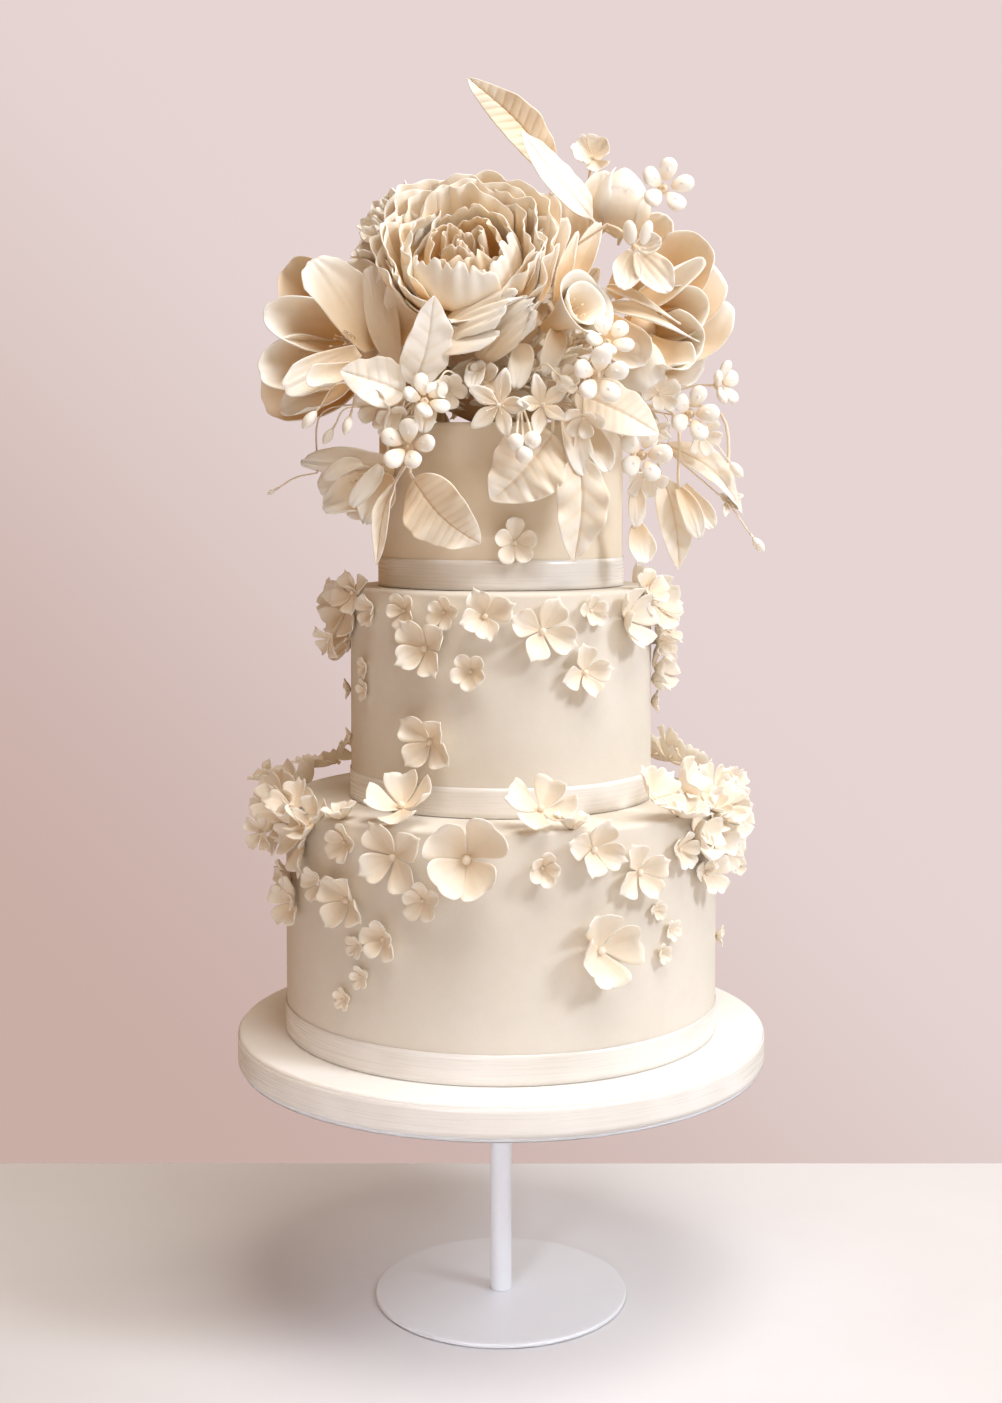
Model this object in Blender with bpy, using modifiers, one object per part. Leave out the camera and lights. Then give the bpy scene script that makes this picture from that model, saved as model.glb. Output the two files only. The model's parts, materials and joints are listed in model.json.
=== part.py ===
"""Three-tier wedding cake with sugar flowers, on its iced drum and pedestal stand.

Metres, +Z up. The origin is the centre of the stand's foot, on the table, and
the side shown in the photograph faces -Y. Azimuths are in degrees, from the
front towards +X.
"""

import math
from typing import NamedTuple

import bmesh
import bpy
from mathutils import Matrix, Vector

# Pieces that touch keep this gap, because meshes hold 32-bit numbers
GAP = 0.0003
SIDES = 36
POST_SIDES = 14

# The pedestal stand, in painted steel
FOOT_RADIUS = 0.085
FOOT_THICKNESS = 0.003
POST_RADIUS = 0.0072
PLATE_RADIUS = 0.174
PLATE_THICKNESS = 0.003
PLATE_BOTTOM = 0.165

# The iced drum that the cake stands on
DRUM_RADIUS = 0.1752
DRUM_HEIGHT = 0.020
DRUM_EDGE = 0.002

# The three tiers and the satin ribbon round each foot
TIER_EDGE = 0.005
RIBBON_HEIGHT = 0.019
RIBBON_THICKNESS = 0.0006
BOTTOM_RADIUS, BOTTOM_HEIGHT = 0.1435, 0.1533
MIDDLE_RADIUS, MIDDLE_HEIGHT = 0.1000, 0.1397
TOP_RADIUS, TOP_HEIGHT = 0.0808, 0.1052

DRUM_BOTTOM = PLATE_BOTTOM + PLATE_THICKNESS + GAP
BOTTOM_FOOT = DRUM_BOTTOM + DRUM_HEIGHT + GAP
MIDDLE_FOOT = BOTTOM_FOOT + BOTTOM_HEIGHT + GAP
TOP_FOOT = MIDDLE_FOOT + MIDDLE_HEIGHT + GAP
POSY_FOOT = TOP_FOOT + TOP_HEIGHT + GAP

# Rolled sugar paste
PETAL_THICKNESS = 0.0012
LEAF_THICKNESS = 0.0011
PETIOLE_HALF_WIDTH = 0.0011
# How far the small blossoms' backs are pressed into the icing
SUNK = 0.0030

# A blossom's outline, as the reach of each point of one petal from its notch on
LOBES = {
    "pointed": (0.54, 0.88, 1.05, 0.88),
    "round": (0.58, 1.0, 1.02, 1.0),
    "small": (0.66, 1.0, 1.0),
    "tiny": (0.68, 1.0),
    "plump": (0.44, 0.94, 1.0, 0.94),
}


class Blossom(NamedTuple):
    """A blossom pressed on a tier: where its centre is, how wide it is and which way it faces."""

    azimuth: float
    width: float
    petals: int
    outline: str
    spin: float = 0.0
    drop: float = 0.0
    lean: float = 0.0
    inset: float = 0.0


# drop is below the tier's top. lean turns a rim blossom's face up, and inset puts it on the ledge
MIDDLE_BLOSSOMS = [
    Blossom(-5.5, 0.0285, 4, "pointed", 20, drop=0.0140),
    Blossom(14.5, 0.0310, 4, "pointed", 62, drop=0.0235),
    Blossom(52.0, 0.0320, 4, "round", 20, drop=0.0190),
    Blossom(-27.5, 0.0320, 4, "pointed", 38, drop=0.0350),
    Blossom(31.0, 0.0260, 4, "pointed", 10, drop=0.0500),
    Blossom(-25.8, 0.0310, 4, "pointed", 50, drop=0.0930),
]
MIDDLE_SMALL_BLOSSOMS = [
    Blossom(-54.9, 0.0178, 5, "small", 10, drop=0.0125),
    Blossom(-36.5, 0.0182, 5, "small", 40, drop=0.0120),
    Blossom(-20.4, 0.0172, 5, "small", 0, drop=0.0120),
    Blossom(33.5, 0.0172, 5, "small", 25, drop=0.0120),
    Blossom(-10.6, 0.0200, 5, "small", 50, drop=0.0485),
    Blossom(-59.5, 0.0115, 5, "tiny", 0, drop=0.0500),
    Blossom(-59.6, 0.0115, 5, "tiny", 30, drop=0.0650),
    Blossom(-86.0, 0.0115, 5, "tiny", 15, drop=0.0690),
    Blossom(-80.0, 0.0100, 5, "tiny", 50, drop=0.0990),
    Blossom(84.0, 0.0172, 5, "small", 20, drop=0.0620),
    Blossom(88.0, 0.0130, 5, "tiny", 20, drop=0.0780),
    Blossom(176.0, 0.0200, 5, "small", 30, drop=0.0480),
    Blossom(128.0, 0.0115, 5, "tiny", 30, drop=0.0560),
    Blossom(-140.0, 0.0115, 5, "tiny", 0, drop=0.0600),
]
BOTTOM_BLOSSOMS = [
    Blossom(-8.0, 0.0440, 4, "round", 45, drop=0.0160),
    Blossom(-26.5, 0.0335, 4, "pointed", 30, drop=0.0175),
    Blossom(24.4, 0.0370, 4, "round", 8, drop=0.0735),
    Blossom(22.6, 0.0300, 4, "pointed", 70, drop=0.0120),
    Blossom(35.6, 0.0290, 4, "pointed", 25, drop=0.0290),
    Blossom(-40.6, 0.0310, 4, "pointed", 60, drop=0.0480),
    Blossom(-61.0, 0.0350, 4, "pointed", 15, drop=0.0150),
    Blossom(-29.0, 0.0350, 4, "round", 20, lean=62, inset=0.0160),
    Blossom(10.5, 0.0320, 4, "round", 60, lean=52, inset=0.0120),
    Blossom(44.0, 0.0320, 4, "pointed", 30, lean=40, inset=0.0080),
    Blossom(62.0, 0.0320, 4, "round", 10, lean=38, inset=0.0120),
]
BOTTOM_SMALL_BLOSSOMS = [
    Blossom(-52.4, 0.0186, 5, "small", 30, drop=0.0415),
    Blossom(-41.5, 0.0200, 5, "small", 0, drop=0.0125),
    Blossom(-19.0, 0.0200, 5, "small", 15, drop=0.0420),
    Blossom(-29.6, 0.0210, 5, "small", 20, drop=0.0685),
    Blossom(-71.0, 0.0225, 5, "small", 20, drop=0.0490),
    Blossom(9.8, 0.0195, 5, "small", 0, drop=0.0215),
    Blossom(50.0, 0.0210, 5, "small", 15, drop=0.0200),
    Blossom(64.0, 0.0220, 5, "small", 35, drop=0.0260),
    Blossom(-37.6, 0.0122, 5, "tiny", 0, drop=0.0750),
    Blossom(-36.2, 0.0122, 5, "tiny", 30, drop=0.0940),
    Blossom(-42.0, 0.0122, 5, "tiny", 10, drop=0.1095),
    Blossom(41.3, 0.0112, 5, "tiny", 20, drop=0.0545),
    Blossom(46.5, 0.0122, 5, "tiny", 50, drop=0.0690),
    Blossom(42.8, 0.0122, 5, "tiny", 35, drop=0.0820),
    Blossom(84.0, 0.0125, 5, "tiny", 15, drop=0.0930),
    Blossom(150.0, 0.0200, 5, "small", 10, drop=0.0480),
    Blossom(-158.0, 0.0200, 5, "small", 35, drop=0.0450),
    Blossom(115.0, 0.0122, 5, "tiny", 20, drop=0.0620),
    Blossom(-120.0, 0.0122, 5, "tiny", 40, drop=0.0600),
]
TOP_BLOSSOM = Blossom(6.0, 0.0225, 5, "small", 15, drop=0.0750)

# Blossoms that overlap each other, each run one piece
MIDDLE_CLUSTERS = {
    "left": [
        Blossom(-76.0, 0.0300, 4, "round", 30, drop=0.0150),
        Blossom(-88.5, 0.0310, 4, "round", 60, drop=0.0130),
        Blossom(-101.0, 0.0290, 4, "pointed", 30, drop=0.0150),
    ],
    "right": [
        Blossom(80.0, 0.0300, 4, "pointed", 30, drop=0.0150),
        Blossom(92.0, 0.0310, 4, "pointed", 10, drop=0.0170),
        Blossom(104.0, 0.0290, 4, "round", 10, drop=0.0140),
        Blossom(86.0, 0.0270, 4, "pointed", 40, drop=0.0380),
    ],
    "back": [
        Blossom(169.0, 0.0300, 4, "pointed", 20, drop=0.0160),
        Blossom(181.0, 0.0320, 4, "round", 0, drop=0.0200),
        Blossom(193.0, 0.0300, 4, "pointed", 40, drop=0.0160),
    ],
}
BOTTOM_CLUSTERS = {
    "left": [
        Blossom(-80.0, 0.0320, 4, "round", 50, lean=30),
        Blossom(-89.5, 0.0320, 4, "round", 10, lean=36),
        Blossom(-99.0, 0.0330, 4, "round", 40, lean=40),
        Blossom(-85.0, 0.0310, 4, "pointed", 0, drop=0.0190),
    ],
    "left_back": [
        Blossom(-119.0, 0.0330, 4, "pointed", 40, lean=50, inset=0.0100),
        Blossom(-130.0, 0.0340, 4, "round", 70, lean=48, inset=0.0100),
        Blossom(-141.0, 0.0330, 4, "pointed", 10, lean=48, inset=0.0100),
    ],
    "right": [
        Blossom(70.5, 0.0330, 4, "pointed", 45, lean=24),
        Blossom(79.5, 0.0350, 4, "round", 20, drop=0.0120),
        Blossom(89.0, 0.0350, 4, "round", 60, drop=0.0100),
        Blossom(97.0, 0.0340, 4, "pointed", 30, lean=40),
        Blossom(84.5, 0.0300, 4, "pointed", 20, drop=0.0340),
    ],
    "right_back": [
        Blossom(108.0, 0.0340, 4, "round", 40, lean=45, inset=0.0090),
        Blossom(119.0, 0.0340, 4, "pointed", 10, lean=42, inset=0.0090),
        Blossom(128.5, 0.0350, 4, "round", 45, lean=42, inset=0.0090),
    ],
    "back": [
        Blossom(168.5, 0.0340, 4, "pointed", 45, drop=0.0160),
        Blossom(178.5, 0.0380, 4, "round", 10, drop=0.0210),
        Blossom(189.0, 0.0340, 4, "round", 50, drop=0.0180),
    ],
}


class Leaf(NamedTuple):
    """A sugar leaf from its stalk's end to its tip, with the way its upper face looks."""

    base: tuple
    tip: tuple
    facing: tuple
    width: float
    arch: float
    stalk: float = 0.15
    fold: float = 0.25
    wave: float = 0.0


class Whorl(NamedTuple):
    """A ring of petals round a flower's axis. Each pair is a radius and a height above the flower's foot.

    The petals are apart, or joined as one lobed cup.
    """

    petals: int
    spread: float
    foot: tuple
    belly: tuple
    rim: tuple
    turn: float = 0.0
    ruffle: float = 0.0
    notch: float = 0.0
    rows: int = 3
    cup: bool = False


class Flower(NamedTuple):
    """A large flower: its foot, the way it faces, its base's radius and its whorls from the outside in."""

    foot: tuple
    facing: tuple
    base: float
    whorls: tuple
    heart: float = 0.0


class Floret(NamedTuple):
    """A five-petalled floret of a sprig: the middle of its back, the way it faces and how wide it is."""

    back: tuple
    facing: tuple
    width: float
    outline: str = "plump"
    petals: int = 5
    spin: float = 0.0


FLOWERS = {
    "peony": Flower(
        (-0.020, -0.047, 0.692), (-0.06, -0.96, 0.20), 0.011,
        (
            Whorl(6, 35, (0.006, 0.002), (0.052, -0.003), (0.060, 0.018), 0, 0.0024, 0.10),
            Whorl(5, 42, (0.000, 0.004), (0.042, 0.000), (0.048, 0.028), 20, 0.0024, 0.08, cup=True),
            Whorl(5, 40, (0.000, 0.008), (0.028, 0.006), (0.033, 0.036), 50, 0.0024, 0.10, rows=2, cup=True),
            Whorl(4, 46, (0.000, 0.009), (0.017, 0.010), (0.018, 0.036), 10, 0.0016, 0.10, rows=2, cup=True),
        ),
    ),
    "magnolia": Flower(
        (-0.092, -0.032, 0.640), (-0.72, -0.69, 0.06), 0.010,
        (
            Whorl(4, 46, (0.006, 0.002), (0.050, -0.008), (0.052, 0.036), 20),
            Whorl(3, 58, (0.000, 0.008), (0.034, 0.002), (0.034, 0.042), 60, rows=3, cup=True),
        ),
        heart=0.009,
    ),
    "rose": Flower(
        (0.080, -0.030, 0.657), (0.50, -0.86, 0.08), 0.010,
        (
            Whorl(5, 40, (0.006, 0.002), (0.048, -0.008), (0.051, 0.022), 0),
            Whorl(4, 46, (0.000, 0.008), (0.032, 0.002), (0.036, 0.034), 30, rows=3, cup=True),
            Whorl(3, 56, (0.000, 0.007), (0.017, 0.010), (0.017, 0.036), 70, rows=2, cup=True),
        ),
    ),
    "carnation": Flower(
        (-0.052, 0.000, 0.700), (-0.75, -0.30, 0.60), 0.008,
        (
            Whorl(5, 38, (0.000, 0.004), (0.030, 0.002), (0.036, 0.020), 0, 0.0030, 0.10, rows=2, cup=True),
            Whorl(4, 44, (0.000, 0.008), (0.018, 0.008), (0.021, 0.030), 30, 0.0020, 0.10, rows=2, cup=True),
        ),
    ),
    "back_rose": Flower(
        (0.012, 0.058, 0.680), (0.15, 0.95, 0.35), 0.010,
        (
            Whorl(5, 40, (0.006, 0.002), (0.048, -0.008), (0.050, 0.026), 0, rows=2),
            Whorl(4, 46, (0.000, 0.008), (0.030, 0.002), (0.032, 0.034), 30, rows=2, cup=True),
        ),
        heart=0.008,
    ),
    "back_peony": Flower(
        (-0.046, 0.054, 0.634), (-0.50, 0.84, 0.05), 0.009,
        (
            Whorl(5, 40, (0.000, 0.004), (0.037, -0.002), (0.041, 0.020), 0, 0.0026, 0.12, rows=2, cup=True),
            Whorl(4, 44, (0.000, 0.008), (0.023, 0.004), (0.025, 0.028), 30, 0.0020, 0.14, rows=2, cup=True),
        ),
    ),
    "lily": Flower(
        (-0.088, -0.040, 0.562), (-0.92, -0.20, -0.26), 0.005,
        (Whorl(5, 34, (0.000, 0.000), (0.010, 0.040), (0.036, 0.052), cup=True),),
    ),
}

LEAVES = {
    "leaf_tall_veined": [
        Leaf((0.036, 0.012, 0.722), (-0.022, -0.008, 0.8155), (0.50, -0.75, 0.30),
             0.030, 0.010, 0.22)],
    "leaf_tall_smooth": [
        Leaf((0.064, -0.032, 0.712), (0.012, -0.036, 0.772), (0.25, -0.92, 0.35),
             0.021, 0.004, 0.12)],
    "leaf_hanging_left": [
        Leaf((-0.046, -0.080, 0.553), (-0.0155, -0.092, 0.511), (0.05, -1.0, 0.10),
             0.028, 0.004, 0.14)],
    "leaf_hanging_centre": [
        Leaf((0.036, -0.084, 0.581), (-0.010, -0.091, 0.535), (-0.10, -1.0, 0.15),
             0.042, 0.004, 0.05)],
    "leaf_hanging_right": [
        Leaf((0.050, -0.084, 0.574), (0.049, -0.090, 0.501), (0.05, -1.0, 0.05),
             0.028, 0.005, 0.10)],
    "leaves_low_right": [
        Leaf((0.103, -0.012, 0.564), (0.1185, -0.012, 0.4945), (0.30, -0.95, 0.05), 0.024, 0.004, 0.14),
        Leaf((0.102, -0.012, 0.565), (0.163, -0.004, 0.533), (0.35, -0.85, 0.50), 0.024, 0.006, 0.10),
    ],
}


class Sprig(NamedTuple):
    """A branching stem: the joint where it branches, and what its branches carry."""

    joint: tuple
    florets: tuple = ()
    leaves: tuple = ()
    buds: tuple = ()


SPRIGS = {
    "sprig_left": Sprig(
        (-0.054, -0.076, 0.600),
        (
            Floret((-0.0560, -0.084, 0.569), (-0.25, -1.0, 0.10), 0.036),
            Floret((-0.0550, -0.086, 0.597), (-0.20, -1.0, 0.15), 0.036, spin=30),
        ),
        (
            Leaf((-0.0530, -0.076, 0.600), (-0.043, -0.104, 0.663), (-0.10, -1.0, 0.15), 0.025, 0.004, 0.24),
            Leaf((-0.0530, -0.076, 0.601), (-0.099, -0.090, 0.617), (-0.05, -1.0, 0.10), 0.028, 0.004, 0.30),
        ),
    ),
    "sprig_centre": Sprig(
        (0.012, -0.084, 0.600),
        (
            Floret((-0.0005, -0.096, 0.597), (-0.15, -1.0, 0.10), 0.038, "round"),
            Floret((0.0240, -0.096, 0.600), (0.15, -1.0, 0.10), 0.038, "round", spin=36),
        ),
        (),
        ((0.0090, -0.108, 0.574), (0.0190, -0.108, 0.5755), (0.0140, -0.1085, 0.5665)),
    ),
    "sprig_right": Sprig(
        (0.052, -0.084, 0.620),
        (
            Floret((0.0550, -0.102, 0.612), (0.20, -1.0, 0.0), 0.036),
            Floret((0.0620, -0.098, 0.633), (0.25, -1.0, 0.25), 0.036, spin=40),
        ),
    ),
    "sprig_top": Sprig(
        (0.088, -0.026, 0.728),
        (Floret((0.104, -0.044, 0.738), (0.30, -0.90, 0.30), 0.036),),
        (),
        ((0.0770, -0.024, 0.733),),
    ),
    "sprig_ivy": Sprig(
        (0.066, -0.072, 0.710),
        (Floret((0.0840, -0.082, 0.691), (0.25, -0.95, 0.15), 0.046, "pointed"),),
    ),
    "sprig_low_right": Sprig(
        (0.060, -0.070, 0.597),
        (Floret((0.090, -0.068, 0.566), (0.35, -0.95, -0.05), 0.033),),
        (Leaf((0.058, -0.068, 0.598), (0.098, -0.084, 0.583), (0.35, -0.90, 0.40), 0.032, 0.005, 0.16),),
    ),
    "sprig_far_right": Sprig(
        (0.108, -0.004, 0.606),
        (
            Floret((0.124, -0.030, 0.596), (0.45, -0.88, 0.05), 0.036),
            Floret((0.141, -0.010, 0.614), (0.60, -0.78, 0.10), 0.034, spin=20),
        ),
    ),
}
BUD_RADIUS = 0.0055

# The posy's filler: an uneven mound under the flowers, with small florets, buds and leaves on it
MOUND_CENTRE = (0.0, 0.004, 0.640)
MOUND_RADII = (0.056, 0.048, 0.058)
MOUND_LUMP = 0.05
WIRE_RADIUS = 0.0011
KNEE = 0.006
STEM_CLEARANCE = 0.0020
MOUND_FLORETS = 20
MOUND_FLORET_WIDTH = 0.024
FLOWER_CLEARANCE = 0.006

MATERIALS = {
    "painted_steel": ((0.80, 0.80, 0.84), 0.45, 0.0),
    "sugar_paste": ((0.80, 0.68, 0.53), 0.62, 0.0),
    "satin_ribbon": ((0.84, 0.77, 0.67), 0.38, 0.0),
    "flower_paste": ((0.88, 0.79, 0.66), 0.58, 0.0),
}


def clear_scene():
    for obj in list(bpy.data.objects):
        bpy.data.objects.remove(obj)


def make_material(name):
    colour, roughness, metallic = MATERIALS[name]
    material = bpy.data.materials.new(name)
    material.use_nodes = True
    shader = material.node_tree.nodes["Principled BSDF"]
    shader.inputs["Base Color"].default_value = (*colour, 1.0)
    shader.inputs["Roughness"].default_value = roughness
    shader.inputs["Metallic"].default_value = metallic
    return material


def add_object(name, mesh, material=None):
    obj = bpy.data.objects.new(name, mesh)
    CAKE.objects.link(obj)
    if material:
        mesh.materials.clear()
        mesh.materials.append(bpy.data.materials[material])
    return obj


def applied(obj):
    """The object with its modifiers made part of its mesh, and nothing else changed."""
    bpy.context.view_layer.update()
    graph = bpy.context.evaluated_depsgraph_get()
    mesh = bpy.data.meshes.new_from_object(obj.evaluated_get(graph))
    obj.modifiers.clear()
    obj.data = mesh
    return obj


def turned(name, profile, sides, material):
    """A turned solid. The profile's points run down its outer side, as (radius, height)."""
    mesh = bpy.data.meshes.new(name)
    mesh.from_pydata([(r, 0.0, z) for r, z in profile], [(i, i + 1) for i in range(len(profile) - 1)], [])
    obj = add_object(name, mesh, material)
    screw = obj.modifiers.new("Screw", "SCREW")
    screw.angle = 2 * math.pi
    screw.steps = screw.render_steps = sides
    screw.use_merge_vertices = True
    screw.merge_threshold = 0.00001
    return obj


def disc_profile(radius, bottom, top, edge, edge_steps):
    """A cylinder's profile with its top edge rounded."""
    turns = [math.pi / 2 * i / edge_steps for i in range(edge_steps + 1)]
    rounding = [(radius - edge + edge * math.sin(a), top - edge + edge * math.cos(a)) for a in turns]
    return [(0.0, top), *rounding, (radius, bottom), (0.0, bottom)]


def ring_profile(inner, outer, bottom, top):
    return [(inner, top), (outer, top), (outer, bottom), (inner, bottom), (inner, top)]


def shaped_grid(name, columns, rows, place):
    """A grid whose every point (u, v), each from 0 to 1, is moved to place(u, v), in triangles."""
    mesh = bpy.data.meshes.new(name)
    work = bmesh.new()
    bmesh.ops.create_grid(work, x_segments=columns, y_segments=rows, size=1.0)
    for vertex in work.verts:
        u, v = (vertex.co.x + 1) / 2, (vertex.co.y + 1) / 2
        vertex.co = place(u, v)
    bmesh.ops.remove_doubles(work, verts=work.verts, dist=1e-6)
    bmesh.ops.dissolve_degenerate(work, edges=work.edges, dist=1e-7)
    bmesh.ops.recalc_face_normals(work, faces=work.faces)
    bmesh.ops.triangulate(work, faces=work.faces)
    work.to_mesh(mesh)
    work.free()
    return mesh


def solid_of_rings(name, sides, rings, place):
    """A closed solid of rings round an axis, from pole to pole: place(turn, ring) is a point of it."""
    return shaped_grid(name, sides, rings, lambda u, v: place(u, round(v * rings)))


def thickened(obj, thickness):
    solidify = obj.modifiers.new("Solidify", "SOLIDIFY")
    solidify.thickness = thickness
    solidify.offset = 0.0
    solidify.use_even_offset = True
    return obj


def fused(core, pieces):
    """The core with the pieces joined on, as one body."""
    group = bpy.data.collections.new(core.name + "_pieces")
    bpy.context.scene.collection.children.link(group)
    for piece in pieces:
        applied(piece)
        CAKE.objects.unlink(piece)
        group.objects.link(piece)
    union = core.modifiers.new("Union", "BOOLEAN")
    union.operation = "UNION"
    union.operand_type = "COLLECTION"
    union.collection = group
    union.solver = "EXACT"
    applied(core)
    for piece in pieces:
        bpy.data.objects.remove(piece)
    bpy.data.collections.remove(group)
    return core


def facing_matrix(origin, axis, spin=0.0):
    """Puts a shape's base at origin with its +Z along axis, turned about it by spin degrees."""
    turn = Vector(axis).normalized().to_track_quat("Z", "Y").to_matrix().to_4x4()
    return Matrix.Translation(origin) @ turn @ Matrix.Rotation(math.radians(spin), 4, "Z")


def blossom_mesh(name, width, petals, outline, depth=0.0):
    """An open blossom: a lobed dish with a thin rim, its back's middle at the origin, or depth below it."""
    lobe = LOBES[outline]
    reach = width / 2
    cup = 0.30 * width if outline in ("small", "tiny") else 0.20 * width
    paste = min(PETAL_THICKNESS, 0.09 * width)


    def place(turn, ring):
        share = lobe[round(turn * petals * len(lobe)) % len(lobe)]
        angle = 2 * math.pi * turn
        if ring == 1:
            far = reach * share
            return Vector((far * math.cos(angle), far * math.sin(angle), cup * share**2 + GAP))
        return Vector((0, 0, 2.0 * paste if ring else -depth))

    return solid_of_rings(name, petals * len(lobe), 2, place)


def blossom_place(spec, radius, top):
    """The point of the tier's skin where a blossom sits, and the way it faces."""
    lean = math.radians(spec.lean)
    out, up = math.cos(lean), math.sin(lean)
    if spec.lean:
        reach = radius - TIER_EDGE - spec.inset + (TIER_EDGE + GAP) * out
        height = top - TIER_EDGE - spec.drop + (TIER_EDGE + GAP) * up
        if spec.inset:
            height = top + GAP + spec.width / 2 * out
    else:
        reach, height = radius + GAP, top - spec.drop
    azimuth = math.radians(spec.azimuth)
    ahead = Vector((math.sin(azimuth), -math.cos(azimuth), 0))
    return ahead * reach + Vector((0, 0, height)), ahead * out + Vector((0, 0, up))


def add_blossom(name, spec, radius, top, depth=0.0):
    mesh = blossom_mesh(name, spec.width, spec.petals, spec.outline, depth)
    point, face = blossom_place(spec, radius, top)
    mesh.transform(facing_matrix(point, face, spec.spin))
    return add_object(name, mesh, "flower_paste")


def wire(name, points, radius):
    """A sugar stem or wire through the points: a thin curve, made a mesh with its caps welded."""
    curve = bpy.data.curves.new(name, "CURVE")
    curve.dimensions = "3D"
    curve.bevel_depth = radius
    curve.bevel_resolution = 0
    curve.use_fill_caps = True
    spline = curve.splines.new("POLY")
    spline.points.add(len(points) - 1)
    for point, place in zip(spline.points, points):
        point.co = (*place, 1.0)
    guide = bpy.data.objects.new(name + "_guide", curve)
    bpy.context.scene.collection.objects.link(guide)
    bpy.context.view_layer.update()
    mesh = bpy.data.meshes.new_from_object(guide.evaluated_get(bpy.context.evaluated_depsgraph_get()))
    bpy.data.objects.remove(guide)
    work = bmesh.new()
    work.from_mesh(mesh)
    bmesh.ops.remove_doubles(work, verts=work.verts, dist=1e-6)
    bmesh.ops.recalc_face_normals(work, faces=work.faces)
    work.to_mesh(mesh)
    work.free()
    return add_object(name, mesh, "flower_paste")


def ball(name, centre, radii, sides=7, rings=4):
    mesh = bpy.data.meshes.new(name)
    work = bmesh.new()
    bmesh.ops.create_uvsphere(work, u_segments=sides, v_segments=rings, radius=1.0)
    work.to_mesh(mesh)
    work.free()
    mesh.transform(Matrix.Translation(centre) @ Matrix.Diagonal((*radii, 1.0)))
    return add_object(name, mesh, "flower_paste")


def along_whorl(whorl, reach):
    """The radius and height of a petal's middle line, reach of the way up from its foot."""
    shares = (1 - reach) ** 2, 2 * reach * (1 - reach), reach**2
    line = whorl.foot, whorl.belly, whorl.rim
    return sum(w * p[0] for w, p in zip(shares, line)), sum(w * p[1] for w, p in zip(shares, line))


def whorl_petal(name, whorl, number):
    """One petal, wrapped round the flower's axis, with a rounded, wavy and perhaps notched rim."""
    middle = 2 * math.pi * number / whorl.petals + math.radians(whorl.turn)
    odd_one = whorl.petals % 2 and number == whorl.petals - 1
    inside = 0.94 if odd_one else 1.0 - 0.12 * (number % 2)

    def place(u, v):
        across = 2 * u - 1
        reach = v * (1 - 0.22 * across**2 - whorl.notch * math.exp(-((across / 0.3) ** 2)) * v)
        spread = math.radians(whorl.spread) * (0.30 + 0.70 * math.sin(math.pi * (0.08 + 0.62 * v)))
        radius, height = along_whorl(whorl, reach)
        radius = inside * radius + whorl.ruffle * v**2 * math.sin(5.0 * across + 2.1 * number)
        angle = middle + across * spread
        return Vector((radius * math.cos(angle), radius * math.sin(angle), height))

    mesh = shaped_grid(name, 3, whorl.rows, place)
    return thickened(add_object(name, mesh, "flower_paste"), PETAL_THICKNESS)


def whorl_cup(name, whorl):
    """The whorl as one thin cup with a lobe for each petal."""
    lobe = (0.66, 1.0, 1.0 - whorl.notch)

    def place(turn, v):
        point = round(turn * whorl.petals * len(lobe))
        radius, height = along_whorl(whorl, v * (1 - (1 - lobe[point % len(lobe)]) * v))
        radius += whorl.ruffle * v**2 * math.sin(2.3 * point)
        angle = 2 * math.pi * turn + math.radians(whorl.turn)
        return Vector((radius * math.cos(angle), radius * math.sin(angle), height))

    mesh = shaped_grid(name, len(lobe) * whorl.petals, whorl.rows, place)
    return thickened(add_object(name, mesh, "flower_paste"), PETAL_THICKNESS)


def add_flower(name, flower, mound):
    base = ball(name, (0, 0, 0), (flower.base,) * 3)
    pieces = []
    for w, whorl in enumerate(flower.whorls):
        if whorl.cup:
            pieces.append(whorl_cup(f"{name}_{w}", whorl))
        else:
            pieces += [whorl_petal(f"{name}_{w}_{n}", whorl, n) for n in range(whorl.petals)]
    if flower.heart:
        heart = flower.heart
        pieces.append(ball(f"{name}_heart", (0, 0, flower.base + heart), (heart, heart, 1.4 * heart)))
    placed = facing_matrix(flower.foot, flower.facing)
    for piece in [base, *pieces]:
        applied(piece).data.transform(placed)
    return fused(base, [*pieces, add_stem(name, flower.foot, mound)])


def leaf_object(name, leaf):
    """A thin leaf with a stalk, folded along its rib and arched towards the way it faces."""
    base, tip = Vector(leaf.base), Vector(leaf.tip)
    along = tip - base
    across = along.cross(Vector(leaf.facing)).normalized()
    face = across.cross(along).normalized()

    def place(u, v):
        side = 2 * u - 1
        blade = max(0.0, (v - leaf.stalk) / (1 - leaf.stalk))
        half = max(PETIOLE_HALF_WIDTH * (1 - v), leaf.width / 2 * math.sin(math.pi * blade**0.75) ** 0.8)
        half = max(half, 0.0004)
        lift = leaf.arch * math.sin(math.pi * v) + leaf.fold * half * abs(side)
        return base + along * v + across * (side * half) + face * lift

    mesh = shaped_grid(name, 2, 5, place)
    return thickened(add_object(name, mesh, "flower_paste"), LEAF_THICKNESS)


def add_floret(name, floret, depth=0.006):
    mesh = blossom_mesh(name, floret.width, floret.petals, floret.outline, depth)
    mesh.transform(facing_matrix(floret.back, floret.facing, floret.spin))
    return add_object(name, mesh, "flower_paste")


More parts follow.
